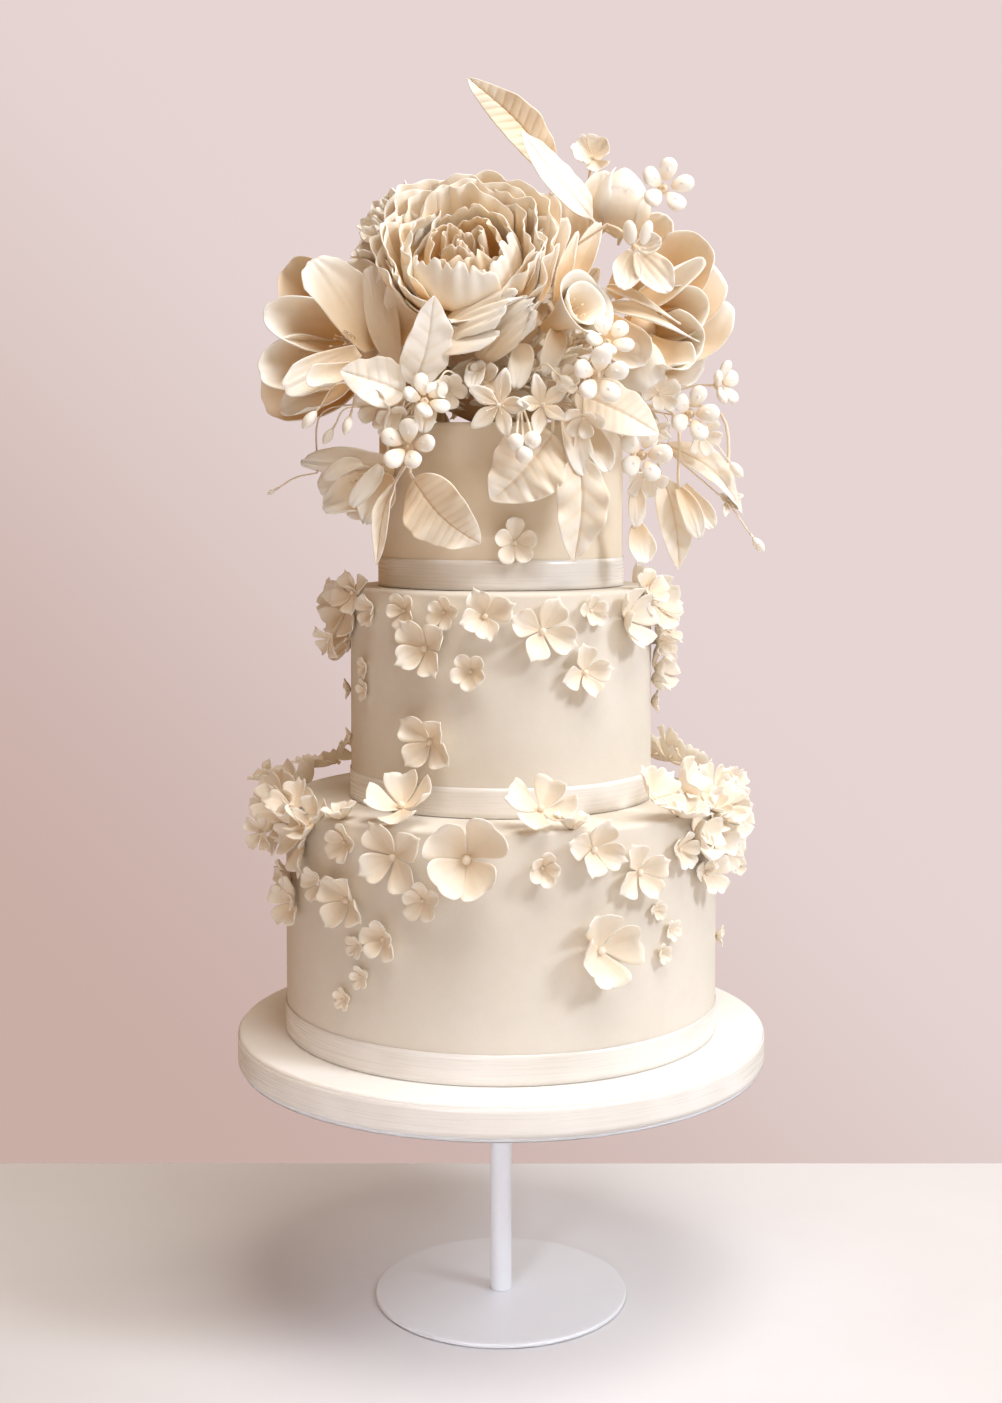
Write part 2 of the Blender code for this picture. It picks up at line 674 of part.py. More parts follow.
def add_stem(name, end, mound):
    """A wire from a flower's or leaf's end to the mound, over the top tier's rim where the end hangs lower."""
    path = [Vector(end)]
    if path[0].z < POSY_FOOT + KNEE:
        path.append(Vector((path[0].x, path[0].y, POSY_FOOT + KNEE)))
    height = min(max(path[-1].z, POSY_FOOT + 1.5 * KNEE), MOUND_CENTRE[2] + 0.6 * MOUND_RADII[2])
    inward = (Vector((0.3 * path[-1].x, 0.3 * path[-1].y, height)) - path[-1]).normalized()
    _, met, _, _ = mound.ray_cast(path[-1], inward)
    return wire(name + "_stem", [*path, met - STEM_CLEARANCE * inward], WIRE_RADIUS)


def add_leaves(name, leaves, mound):
    pieces = [leaf_object(f"{name}_{i}", leaf) for i, leaf in enumerate(leaves)]
    stem = add_stem(name, leaves[0].base, mound)
    stem.name = name
    return fused(stem, pieces)


def add_sprig(name, sprig, mound):
    stem = add_stem(name, sprig.joint, mound)
    stem.name = name
    ends = [floret.back for floret in sprig.florets] + list(sprig.buds)
    pieces = [wire(f"{name}_branch_{i}", [sprig.joint, end], 0.8 * WIRE_RADIUS) for i, end in enumerate(ends)]
    pieces += [add_floret(f"{name}_{i}", floret) for i, floret in enumerate(sprig.florets)]
    pieces += [leaf_object(f"{name}_leaf_{i}", leaf) for i, leaf in enumerate(sprig.leaves)]
    buds = enumerate(sprig.buds)
    pieces += [ball(f"{name}_bud_{i}", centre, (BUD_RADIUS,) * 3, 6, 4) for i, centre in buds]
    return fused(stem, pieces)


def add_mound():
    """The uneven mound that the posy is pushed into, flat where it rests on the top tier."""
    mound = ball("posy_filler", MOUND_CENTRE, MOUND_RADII, 16, 9)
    centre = Vector(MOUND_CENTRE)
    for vertex in mound.data.vertices:
        out = vertex.co - centre
        angle = math.atan2(out.y, out.x)
        lump = 1 + MOUND_LUMP * math.sin(3 * angle + 60 * out.z) * (1 - abs(out.z) / MOUND_RADII[2])
        vertex.co = centre + out * lump
        vertex.co.z = max(vertex.co.z, POSY_FOOT)
    return mound


def mound_florets():
    """Small florets spread evenly over the mound, where no large flower covers it."""
    centre = Vector(MOUND_CENTRE)
    covered = [
        (Vector(f.foot) + Vector(f.facing).normalized() * 0.4 * f.whorls[0].rim[0], f.whorls[0].rim[0])
        for f in FLOWERS.values()
    ]
    florets = []
    for i in range(MOUND_FLORETS):
        height = 0.95 - 1.45 * (i + 0.5) / MOUND_FLORETS
        angle = 2.39996 * i
        flat = math.sqrt(1 - height**2)
        way = Vector((flat * math.cos(angle), flat * math.sin(angle), height))
        back = centre + Vector([0.97 * r * w for r, w in zip(MOUND_RADII, way)])
        if all((back - middle).length > reach + FLOWER_CLEARANCE for middle, reach in covered):
            florets.append(Floret(tuple(back), tuple(way), MOUND_FLORET_WIDTH, "small", spin=50.0 * i))
    return florets


def build_stand():
    plate_top = PLATE_BOTTOM + PLATE_THICKNESS
    turned("stand_foot", disc_profile(FOOT_RADIUS, 0.0, FOOT_THICKNESS, 0.001, 1), SIDES, "painted_steel")
    post_top, post_foot = PLATE_BOTTOM - GAP, FOOT_THICKNESS + GAP
    post = [(0.0, post_top), (POST_RADIUS, post_top), (POST_RADIUS, post_foot), (0.0, post_foot)]
    turned("stand_post", post, POST_SIDES, "painted_steel")
    turned("stand_plate", disc_profile(PLATE_RADIUS, PLATE_BOTTOM, plate_top, 0.001, 1), SIDES, "painted_steel")


def build_tiers():
    drum_top = DRUM_BOTTOM + DRUM_HEIGHT
    turned("drum", disc_profile(DRUM_RADIUS, DRUM_BOTTOM, drum_top, DRUM_EDGE, 2), SIDES, "sugar_paste")
    tiers = (
        ("tier_bottom", BOTTOM_RADIUS, BOTTOM_FOOT, BOTTOM_HEIGHT, BOTTOM_SMALL_BLOSSOMS),
        ("tier_middle", MIDDLE_RADIUS, MIDDLE_FOOT, MIDDLE_HEIGHT, MIDDLE_SMALL_BLOSSOMS),
        ("tier_top", TOP_RADIUS, TOP_FOOT, TOP_HEIGHT, []),
    )
    for name, radius, foot, height, small in tiers:
        top = foot + height
        tier = applied(turned(name, disc_profile(radius, foot, top, TIER_EDGE, 3), SIDES, "sugar_paste"))
        if small:
            fused(tier, [add_blossom(f"{name}_{i}", spec, radius, top, SUNK) for i, spec in enumerate(small)])


def build_ribbons():
    ribbons = (
        ("ribbon_drum", DRUM_RADIUS, DRUM_BOTTOM, DRUM_HEIGHT - DRUM_EDGE),
        ("ribbon_bottom", BOTTOM_RADIUS, BOTTOM_FOOT, RIBBON_HEIGHT),
        ("ribbon_middle", MIDDLE_RADIUS, MIDDLE_FOOT, RIBBON_HEIGHT),
        ("ribbon_top", TOP_RADIUS, TOP_FOOT, RIBBON_HEIGHT),
    )
    for name, radius, foot, height in ribbons:
        inner = radius + GAP
        turned(name, ring_profile(inner, inner + RIBBON_THICKNESS, foot, foot + height), SIDES, "satin_ribbon")


def build_tier_blossoms():
    bottom_top, middle_top = BOTTOM_FOOT + BOTTOM_HEIGHT, MIDDLE_FOOT + MIDDLE_HEIGHT
    for i, spec in enumerate(BOTTOM_BLOSSOMS, 1):
        add_blossom(f"blossom_bottom_{i:02d}", spec, BOTTOM_RADIUS, bottom_top)
    for i, spec in enumerate(MIDDLE_BLOSSOMS, 1):
        add_blossom(f"blossom_middle_{i:02d}", spec, MIDDLE_RADIUS, middle_top)
    add_blossom("blossom_top", TOP_BLOSSOM, TOP_RADIUS, TOP_FOOT + TOP_HEIGHT)
    runs = (("bottom", BOTTOM_CLUSTERS, BOTTOM_RADIUS, bottom_top), ("middle", MIDDLE_CLUSTERS, MIDDLE_RADIUS, middle_top))
    for tier, clusters, radius, top in runs:
        for side, specs in clusters.items():
            name = f"cluster_{tier}_{side}"
            first, *others = [add_blossom(f"{name}_{i}", spec, radius, top) for i, spec in enumerate(specs)]
            first.name = name
            fused(first, others)


def build_posy():
    mound = add_mound()
    fused(mound, [add_floret(f"mound_floret_{i}", floret) for i, floret in enumerate(mound_florets())])
    for name, flower in FLOWERS.items():
        add_flower(name, flower, mound)
    for name, leaves in LEAVES.items():
        add_leaves(name, leaves, mound)
    for name, sprig in SPRIGS.items():
        add_sprig(name, sprig, mound)


def shade_smooth():
    for obj in CAKE.objects:
        obj.data.shade_smooth()
        obj.data.set_sharp_from_angle(angle=math.radians(35))


def main():
    clear_scene()
    for name in MATERIALS:
        make_material(name)
    build_stand()
    build_tiers()
    build_ribbons()
    build_tier_blossoms()
    build_posy()
    shade_smooth()


CAKE = bpy.data.collections.new("wedding_cake")
bpy.context.scene.collection.children.link(CAKE)
main()
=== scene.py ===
import json
import math

import bpy
import numpy as np
from mathutils import Matrix, Vector

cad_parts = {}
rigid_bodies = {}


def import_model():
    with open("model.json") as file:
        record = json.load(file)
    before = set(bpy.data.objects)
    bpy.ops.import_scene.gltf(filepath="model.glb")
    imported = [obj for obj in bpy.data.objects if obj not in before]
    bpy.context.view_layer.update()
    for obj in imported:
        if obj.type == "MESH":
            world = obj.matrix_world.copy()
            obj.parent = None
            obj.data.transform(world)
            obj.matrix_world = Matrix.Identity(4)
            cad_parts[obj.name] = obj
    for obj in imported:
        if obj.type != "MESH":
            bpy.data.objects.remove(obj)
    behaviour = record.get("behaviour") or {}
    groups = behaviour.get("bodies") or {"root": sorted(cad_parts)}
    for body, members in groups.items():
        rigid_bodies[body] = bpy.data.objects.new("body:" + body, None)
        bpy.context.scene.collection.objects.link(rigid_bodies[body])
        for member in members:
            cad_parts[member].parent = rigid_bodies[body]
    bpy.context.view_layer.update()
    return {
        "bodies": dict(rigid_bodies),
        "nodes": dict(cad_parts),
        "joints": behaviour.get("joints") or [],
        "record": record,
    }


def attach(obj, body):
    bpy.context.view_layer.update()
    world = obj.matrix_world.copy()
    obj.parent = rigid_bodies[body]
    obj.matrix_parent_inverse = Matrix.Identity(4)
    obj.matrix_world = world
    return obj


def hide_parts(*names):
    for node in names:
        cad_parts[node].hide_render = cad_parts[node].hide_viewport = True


# Tiered wedding cake with sugar flowers. Metres, +Z up, the photographed side faces -Y
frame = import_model()
print("frame loaded:", len(frame["nodes"]), "nodes")


# Small helpers

def linear(hexColour):
    channels = [int(hexColour[i : i + 2], 16) / 255 for i in (1, 3, 5)]
    return tuple(c / 12.92 if c < 0.04045 else ((c + 0.055) / 1.055) ** 2.4 for c in channels) + (1.0,)


def feed(tree, node, links):
    # each input gets a plain value, or the socket that drives it
    for key, value in links.items():
        if isinstance(value, bpy.types.NodeSocket):
            tree.links.new(value, node.inputs[key])
        else:
            node.inputs[key].default_value = value


def addNode(tree, kind, settings=None, links=None):
    node = tree.nodes.new(kind)
    for key, value in (settings or {}).items():
        setattr(node, key, value)
    feed(tree, node, links or {})
    return node


def newMaterial(name):
    material = bpy.data.materials.new(name)
    material.use_nodes = True
    tree = material.node_tree
    return material, tree, tree.nodes["Principled BSDF"]


def facingMatrix(origin, axis, spin=0.0):
    # puts a shape's base at origin with its +Z along axis
    turn = Vector(axis).normalized().to_track_quat("Z", "Y").to_matrix().to_4x4()
    return Matrix.Translation(origin) @ turn @ Matrix.Rotation(math.radians(spin), 4, "Z")


def flowerMatrix(foot, facing):
    # +Z along the flower's facing and +X towards its upper side, so petals are counted from the top
    axis = Vector(facing).normalized()
    upper = (Vector((0, 0, 1)) - axis * axis.z).normalized()
    return Matrix.Translation(foot) @ Matrix((upper, axis.cross(upper), axis)).transposed().to_4x4()


def moved(points, matrix):
    turn, shift = np.array(matrix.to_3x3()), np.array(matrix.translation)
    return points @ turn.T + shift


# Finishes

def makeFlowerPaste():
    # Sugar flower paste, rolled thin and air dried: chalky with a faint satin, rims let light through.
    # Its colour is painted light: pale at the rims as a painted highlight, warm deep between petals as
    # painted shade
    # the first colour is the pale painted highlight at the rims, the second the painted warm shade deep in
    # the flower
    look = {
        "rim": "#FDF9F0", "paintedDeepShade": "#E8BE80", "roughness": 0.50, "patchy": 0.16, "glow": 0.16,
        "glowDepth": 0.0035, "mottle": 0.020, "mottleShare": 0.34, "grain": 0.0009, "dents": 0.006,
        "relief": 0.0006,
    }
    material, tree, shader = newMaterial("driedFlowerPaste")
    coords = addNode(tree, "ShaderNodeTexCoord")
    depth = addNode(tree, "ShaderNodeAttribute", {"attribute_name": "depth"})
    cloud = addNode(tree, "ShaderNodeTexNoise", {}, {
        "Vector": coords.outputs["Object"], "Scale": 1 / look["mottle"], "Detail": 3.0, "Roughness": 0.55})
    uneven = addNode(tree, "ShaderNodeMath", {"operation": "MULTIPLY_ADD"}, {
        0: cloud.outputs["Fac"], 1: look["mottleShare"], 2: -look["mottleShare"] / 2})
    amount = addNode(tree, "ShaderNodeMath", {"operation": "ADD", "use_clamp": True}, {
        0: depth.outputs["Fac"], 1: uneven.outputs[0]})
    # the colour mix: painted warm shade where the per-point painted-shade value is high, the painted
    # highlight colour at rims, plus random mottle
    colour = addNode(tree, "ShaderNodeMix", {"data_type": "RGBA"}, {
        0: amount.outputs[0], 6: linear(look["rim"]), 7: linear(look["paintedDeepShade"])})
    # sugar grain, about 0.3 mm in life and drawn at 0.9 mm so that it shows
    grain = addNode(tree, "ShaderNodeTexNoise", {}, {
        "Vector": coords.outputs["Object"], "Scale": 1 / look["grain"], "Detail": 2.0})
    # faint dents left by the fingers and the ball tool, 6 mm apart
    dents = addNode(tree, "ShaderNodeTexNoise", {}, {
        "Vector": coords.outputs["Object"], "Scale": 1 / look["dents"], "Detail": 1.5})
    bumps = addNode(tree, "ShaderNodeMath", {"operation": "MULTIPLY_ADD"}, {
        0: grain.outputs["Fac"], 1: 0.16, 2: dents.outputs["Fac"]})
    bump = addNode(tree, "ShaderNodeBump", {}, {
        "Height": bumps.outputs[0], "Strength": 0.35, "Distance": look["relief"]})
    dull = addNode(tree, "ShaderNodeMath", {"operation": "MULTIPLY_ADD"}, {
        0: cloud.outputs["Fac"], 1: look["patchy"], 2: look["roughness"] - look["patchy"] / 2})
    feed(tree, shader, {
        "Base Color": colour.outputs[2], "Normal": bump.outputs["Normal"], "Roughness": dull.outputs[0],
        "Subsurface Weight": look["glow"], "Subsurface Scale": look["glowDepth"],
        "Subsurface Radius": (1.0, 0.62, 0.32), "Specular IOR Level": 0.38})
    return material


def makeRolledIcing(name, colour, shade):
    # Rolled sugarpaste icing, smoothed by hand: dead matte ivory with very soft hand undulation
    look = {"roughness": 0.58, "uneven": 0.06, "cloud": 0.085, "speckle": 0.007, "waves": 0.030,
            "grain": 0.0012, "glow": 0.10, "glowDepth": 0.003}
    material, tree, shader = newMaterial(name)
    coords = addNode(tree, "ShaderNodeTexCoord")
    cloud = addNode(tree, "ShaderNodeTexNoise", {}, {
        "Vector": coords.outputs["Object"], "Scale": 1 / look["cloud"], "Detail": 3.0, "Roughness": 0.5})
    fine = addNode(tree, "ShaderNodeTexNoise", {}, {
        "Vector": coords.outputs["Object"], "Scale": 1 / look["speckle"], "Detail": 3.0, "Roughness": 0.6})
    both = addNode(tree, "ShaderNodeMath", {"operation": "MULTIPLY_ADD"}, {
        0: fine.outputs["Fac"], 1: 0.35, 2: cloud.outputs["Fac"]})
    amount = addNode(tree, "ShaderNodeMapRange", {},
                     {"Value": both.outputs[0], "From Min": 0.45, "From Max": 0.95})
    tint = addNode(tree, "ShaderNodeMix", {"data_type": "RGBA"}, {
        0: amount.outputs["Result"], 6: linear(colour), 7: linear(shade)})
    # the smoother leaves shallow waves 30 mm long, and sugar grain of 0.2 mm is drawn as 1.2 mm specks
    waves = addNode(tree, "ShaderNodeTexNoise", {}, {
        "Vector": coords.outputs["Object"], "Scale": 1 / look["waves"], "Detail": 1.0})
    waveBump = addNode(tree, "ShaderNodeBump", {}, {
        "Height": waves.outputs["Fac"], "Strength": 0.5, "Distance": 0.0012})
    grain = addNode(tree, "ShaderNodeTexNoise", {}, {
        "Vector": coords.outputs["Object"], "Scale": 1 / look["grain"], "Detail": 2.5})
    grainBump = addNode(tree, "ShaderNodeBump", {}, {
        "Height": grain.outputs["Fac"], "Strength": 0.22, "Distance": 0.0003,
        "Normal": waveBump.outputs["Normal"]})
    dull = addNode(tree, "ShaderNodeMapRange", {}, {
        "Value": fine.outputs["Fac"], "To Min": look["roughness"] - look["uneven"],
        "To Max": look["roughness"] + look["uneven"]})
    feed(tree, shader, {
        "Base Color": tint.outputs[2], "Normal": grainBump.outputs["Normal"],
        "Roughness": dull.outputs["Result"], "Subsurface Weight": look["glow"],
        "Subsurface Scale": look["glowDepth"], "Subsurface Radius": (1.0, 0.7, 0.4),
        "Specular IOR Level": 0.35})
    return material


def makeSatinRibbon():
    # Double-faced polyester satin: fine weft ribs run round the tier, broad soft highlights, woven edge, and
    # light and dark painted reflection streaks across it
    look = {"colour": "#FAF8F5", "shade": "#DDD7CE", "rib": 0.0008, "drawn": 0.060, "pullsAndPaintedStreaks": 0.045,
            "roughness": 0.24}
    material, tree, shader = newMaterial("wovenSatinRibbon")
    surface = addNode(tree, "ShaderNodeAttribute", {"attribute_name": "surface"})
    # stretched noise, 60 mm along the ribbon. A rib of 0.3 mm is drawn at 0.8 mm so that it shows
    along = addNode(tree, "ShaderNodeMapping", {}, {
        "Vector": surface.outputs["Vector"], "Scale": (1 / look["drawn"], 1 / look["rib"], 1.0)})
    threads = addNode(tree, "ShaderNodeTexNoise", {},
                      {"Vector": along.outputs["Vector"], "Scale": 1.0, "Detail": 2.0})
    # pulls across the ribbon where it was drawn tight, 45 mm apart, as light dents and as painted reflection
    # streaks in the colour
    pullsAndPaintedStreaks = addNode(tree, "ShaderNodeMapping", {}, {
        "Vector": surface.outputs["Vector"], "Scale": (1 / look["pullsAndPaintedStreaks"], 1 / look["drawn"], 1.0)})
    creasesAndPaintedReflection = addNode(tree, "ShaderNodeTexNoise", {},
                      {"Vector": pullsAndPaintedStreaks.outputs["Vector"], "Scale": 1.0, "Detail": 1.0})
    # painted reflection: the pull pattern lightens and darkens the ribbon's colour in streaks
    paintedReflection = addNode(tree, "ShaderNodeMath", {"operation": "MULTIPLY_ADD", "use_clamp": True}, {
        0: creasesAndPaintedReflection.outputs["Fac"], 1: 1.1, 2: -0.15})
    colour = addNode(tree, "ShaderNodeMix", {"data_type": "RGBA"}, {
        0: paintedReflection.outputs[0], 6: linear(look["colour"]), 7: linear(look["shade"])})
    threadBump = addNode(tree, "ShaderNodeBump", {}, {
        "Height": threads.outputs["Fac"], "Strength": 0.5, "Distance": 0.0002})
    pullBump = addNode(tree, "ShaderNodeBump", {}, {
        "Height": creasesAndPaintedReflection.outputs["Fac"], "Strength": 0.5, "Distance": 0.0012,
        "Normal": threadBump.outputs["Normal"]})
    gloss = addNode(tree, "ShaderNodeMapRange", {}, {
        "Value": threads.outputs["Fac"], "To Min": look["roughness"] - 0.05,
        "To Max": look["roughness"] + 0.14})
    feed(tree, shader, {
        "Base Color": colour.outputs[2], "Normal": pullBump.outputs["Normal"],
        "Roughness": gloss.outputs["Result"], "Specular IOR Level": 0.75, "Sheen Weight": 0.20,
        "Sheen Roughness": 0.35})
    return material


def makePaintedSteel():
    # Powder-coated sheet steel: cool white, low gloss, with the coating's slight orange peel
    look = {"colour": "#F1F3F8", "shade": "#E9ECF2", "roughness": 0.38, "uneven": 0.07, "peel": 0.0016,
            "wear": 0.045}
    material, tree, shader = newMaterial("powderCoatedSteel")
    coords = addNode(tree, "ShaderNodeTexCoord")
    peel = addNode(tree, "ShaderNodeTexNoise", {}, {
        "Vector": coords.outputs["Object"], "Scale": 1 / look["peel"], "Detail": 1.5})
    bump = addNode(tree, "ShaderNodeBump", {}, {
        "Height": peel.outputs["Fac"], "Strength": 0.14, "Distance": 0.0002})
    wear = addNode(tree, "ShaderNodeTexNoise", {}, {
        "Vector": coords.outputs["Object"], "Scale": 1 / look["wear"], "Detail": 4.0})
    gloss = addNode(tree, "ShaderNodeMapRange", {}, {
        "Value": wear.outputs["Fac"], "To Min": look["roughness"] - look["uneven"],
        "To Max": look["roughness"] + look["uneven"]})
    tint = addNode(tree, "ShaderNodeMix", {"data_type": "RGBA"}, {
        0: wear.outputs["Fac"], 6: linear(look["colour"]), 7: linear(look["shade"])})
    feed(tree, shader, {
        "Base Color": tint.outputs[2], "Normal": bump.outputs["Normal"], "Roughness": gloss.outputs["Result"],
        "Coat Weight": 0.15, "Coat Roughness": 0.20})
    return material


flowerPaste = makeFlowerPaste()
rolledIcing = makeRolledIcing("rolledSugarpaste", "#EBE5DB", "#E4DCCF")
# copies of the same icing: a creamier one on the top tier as painted warm shade, a whiter one on the drum as
# painted light
paintedShadeTopIcing = makeRolledIcing("topSugarpastePaintedWarmShade", "#F1E6D3", "#EADCC6")
paintedLightBoardIcing = makeRolledIcing("boardSugarpastePaintedLight", "#FBF9F6", "#F6F2EC")
satinRibbon = makeSatinRibbon()
paintedSteel = makePaintedSteel()
print("finishes made")


# Shells of paste, as numpy grids

def shell(grid, thickness, rimShare=0.55, paintedShadeFoot=0.85, paintedShadeRim=0.0, paintedGrooveShade=0.0, fade=1.5):
    # a closed thin sheet round a grid of points (rows from foot to rim, columns across)
    rows, cols, _ = grid.shape
    acrossWay, upWay = np.gradient(grid, axis=1), np.gradient(grid, axis=0)
    normals = np.cross(acrossWay, upWay)
    normals /= np.linalg.norm(normals, axis=2, keepdims=True) + 1e-12
    up = np.linspace(0, 1, rows)[:, None]
    half = thickness / 2 * (1 - (1 - rimShare) * up**1.5) * np.ones((1, cols))
    front, back = grid + normals * half[..., None], grid - normals * half[..., None]
    index = np.arange(rows * cols).reshape(rows, cols)
    loop = np.concatenate([index[0, :], index[1:, -1], index[-1, -2::-1], index[-2:0:-1, 0]])
    flat = grid.reshape(-1, 3)
    inner = np.clip(np.stack([loop // cols, loop % cols], 1), 1, [rows - 2, cols - 2])
    outward = flat[loop] - grid[inner[:, 0], inner[:, 1]]
    outward /= np.linalg.norm(outward, axis=1, keepdims=True) + 1e-12
    rim = flat[loop] + outward * half.reshape(-1)[loop][:, None] * 0.8
    count = rows * cols
    verts = np.concatenate([front.reshape(-1, 3), back.reshape(-1, 3), rim])
    a, b, c, d = index[:-1, :-1], index[:-1, 1:], index[1:, 1:], index[1:, :-1]
    quads = np.stack([a, b, c, d], -1).reshape(-1, 4)
    here, there = np.arange(len(loop)), np.roll(np.arange(len(loop)), -1)
    frontStrip = np.stack([loop[there], loop[here], 2 * count + here, 2 * count + there], 1)
    backStrip = np.stack([2 * count + there, 2 * count + here, count + loop[here], count + loop[there]], 1)
    faces = np.concatenate([quads, quads[:, ::-1] + count, frontStrip, backStrip])
    # painted shade: strongest at the foot and in pressed grooves, fading towards the rim; the rim ring gets
    # none, a painted highlight along the edge
    tint = (paintedShadeFoot + (paintedShadeRim - paintedShadeFoot) * up**fade) * np.ones((1, cols)) + paintedGrooveShade
    depth = np.concatenate([tint.reshape(-1), tint.reshape(-1), 0.0 * tint.reshape(-1)[loop]])
    return verts, faces, depth


def blob(centre, radii, matrix=None, sides=12, rings=8, depth=0.1, lump=None):
    # a rounded bud or bead of paste, as a closed ball of quads and thin caps
    turn = np.linspace(0, 2 * np.pi, sides, endpoint=False)[None, :]
    fall = np.linspace(0.04, np.pi - 0.04, rings)[:, None]
    ball = np.stack([np.sin(fall) * np.cos(turn), np.sin(fall) * np.sin(turn), np.cos(fall) + 0 * turn], -1)
    if lump:
        ball = lump(ball)
    verts = ball.reshape(-1, 3) * np.array(radii)
    verts = np.concatenate([verts, [[0, 0, radii[2]], [0, 0, -radii[2]]]])
    index = np.arange(sides * rings).reshape(rings, sides)
    right = np.roll(index, -1, axis=1)
    quads = np.stack([index[1:], right[1:], right[:-1], index[:-1]], -1).reshape(-1, 4)
    top, bottom = sides * rings, sides * rings + 1
    caps = [(index[0, i], right[0, i], top, top) for i in range(sides)]
    caps += [(right[-1, i], index[-1, i], bottom, bottom) for i in range(sides)]
    verts = moved(verts, matrix) if matrix is not None else verts
    return verts + np.array(centre), np.concatenate([quads, caps]), np.full(len(verts), depth)


def paste(name, parts):
    # one mesh of all the parts, each (points, four-cornered faces, depth)
    verts, faces, depth, shift = [], [], [], 0
    for points, quads, tint in parts:
        verts.append(points)
        faces += [tuple(q[:3]) if q[2] == q[3] else tuple(q) for q in (np.asarray(quads) + shift).tolist()]
        depth.append(tint)
        shift += len(points)
    mesh = bpy.data.meshes.new(name)
    mesh.from_pydata(np.concatenate(verts).tolist(), [], faces)
    mesh.attributes.new("depth", "FLOAT", "POINT").data.foreach_set("value", np.concatenate(depth))
    mesh.shade_smooth()
    mesh.materials.append(flowerPaste)
    return mesh


def newObject(name, data):
    made = bpy.data.objects.new(name, data)
    bpy.context.scene.collection.objects.link(made)
    return made


def addPiece(name, mesh, *nodes):
    piece = newObject(name, mesh)
    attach(piece, "root")
    if nodes:
        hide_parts(*nodes)


def addPaste(name, parts, *nodes):
    addPiece(name, paste(name, parts), *nodes)


def pieceName(node):
    return "sugar" + node.title().replace("_", "")


def placed(part, place):
    points, faces, depth = part
    return moved(points, place), faces, depth


def wobble(rng, count=3, first=2.0):
    # a smooth uneven line over -1 to 1, as a sum of a few waves
    speeds = first * np.arange(1, count + 1) * rng.uniform(0.8, 1.25, count)
    starts, sizes = rng.uniform(0, 6.28, count), 1 / np.arange(1, count + 1) ** 0.8
    return lambda x: sum(s * np.sin(k * x + p) for k, p, s in zip(speeds, starts, sizes)) / sizes.sum()


# Geometry Nodes: a tree's modifier is run once, and its result kept as a plain mesh

def runTree(tree, mesh, values):
    holder = newObject("holder", mesh)
    modifier = holder.modifiers.new("maker", "NODES")
    modifier.node_group = tree
    for item in tree.interface.items_tree:
        if item.item_type == "SOCKET" and item.in_out == "INPUT" and item.name in values:
            modifier[item.identifier] = values[item.name]
    bpy.context.view_layer.update()
    graph = bpy.context.evaluated_depsgraph_get()
    made = bpy.data.meshes.new_from_object(holder.evaluated_get(graph))
    bpy.data.objects.remove(holder)
    made.materials.clear()
    made.materials.append(values["Finish"])
    made.polygons.foreach_set("material_index", [0] * len(made.polygons))
    return made


def newTree(name, inputs):
    tree = bpy.data.node_groups.new(name, "GeometryNodeTree")
    tree.interface.new_socket("Geometry", in_out="INPUT", socket_type="NodeSocketGeometry")
    for label, kind in inputs:
        tree.interface.new_socket(label, in_out="INPUT", socket_type=kind)
    tree.interface.new_socket("Geometry", in_out="OUTPUT", socket_type="NodeSocketGeometry")
    return tree, tree.nodes.new("NodeGroupInput").outputs


def closeTree(tree, geometry, material):
    real = addNode(tree, "GeometryNodeRealizeInstances", {}, {"Geometry": geometry})
    smooth = addNode(tree, "GeometryNodeSetShadeSmooth", {}, {"Geometry": real.outputs[0]})
    finish = addNode(tree, "GeometryNodeSetMaterial", {}, {
        "Geometry": smooth.outputs[0], "Material": material})
    addNode(tree, "NodeGroupOutput", {}, {"Geometry": finish.outputs[0]})


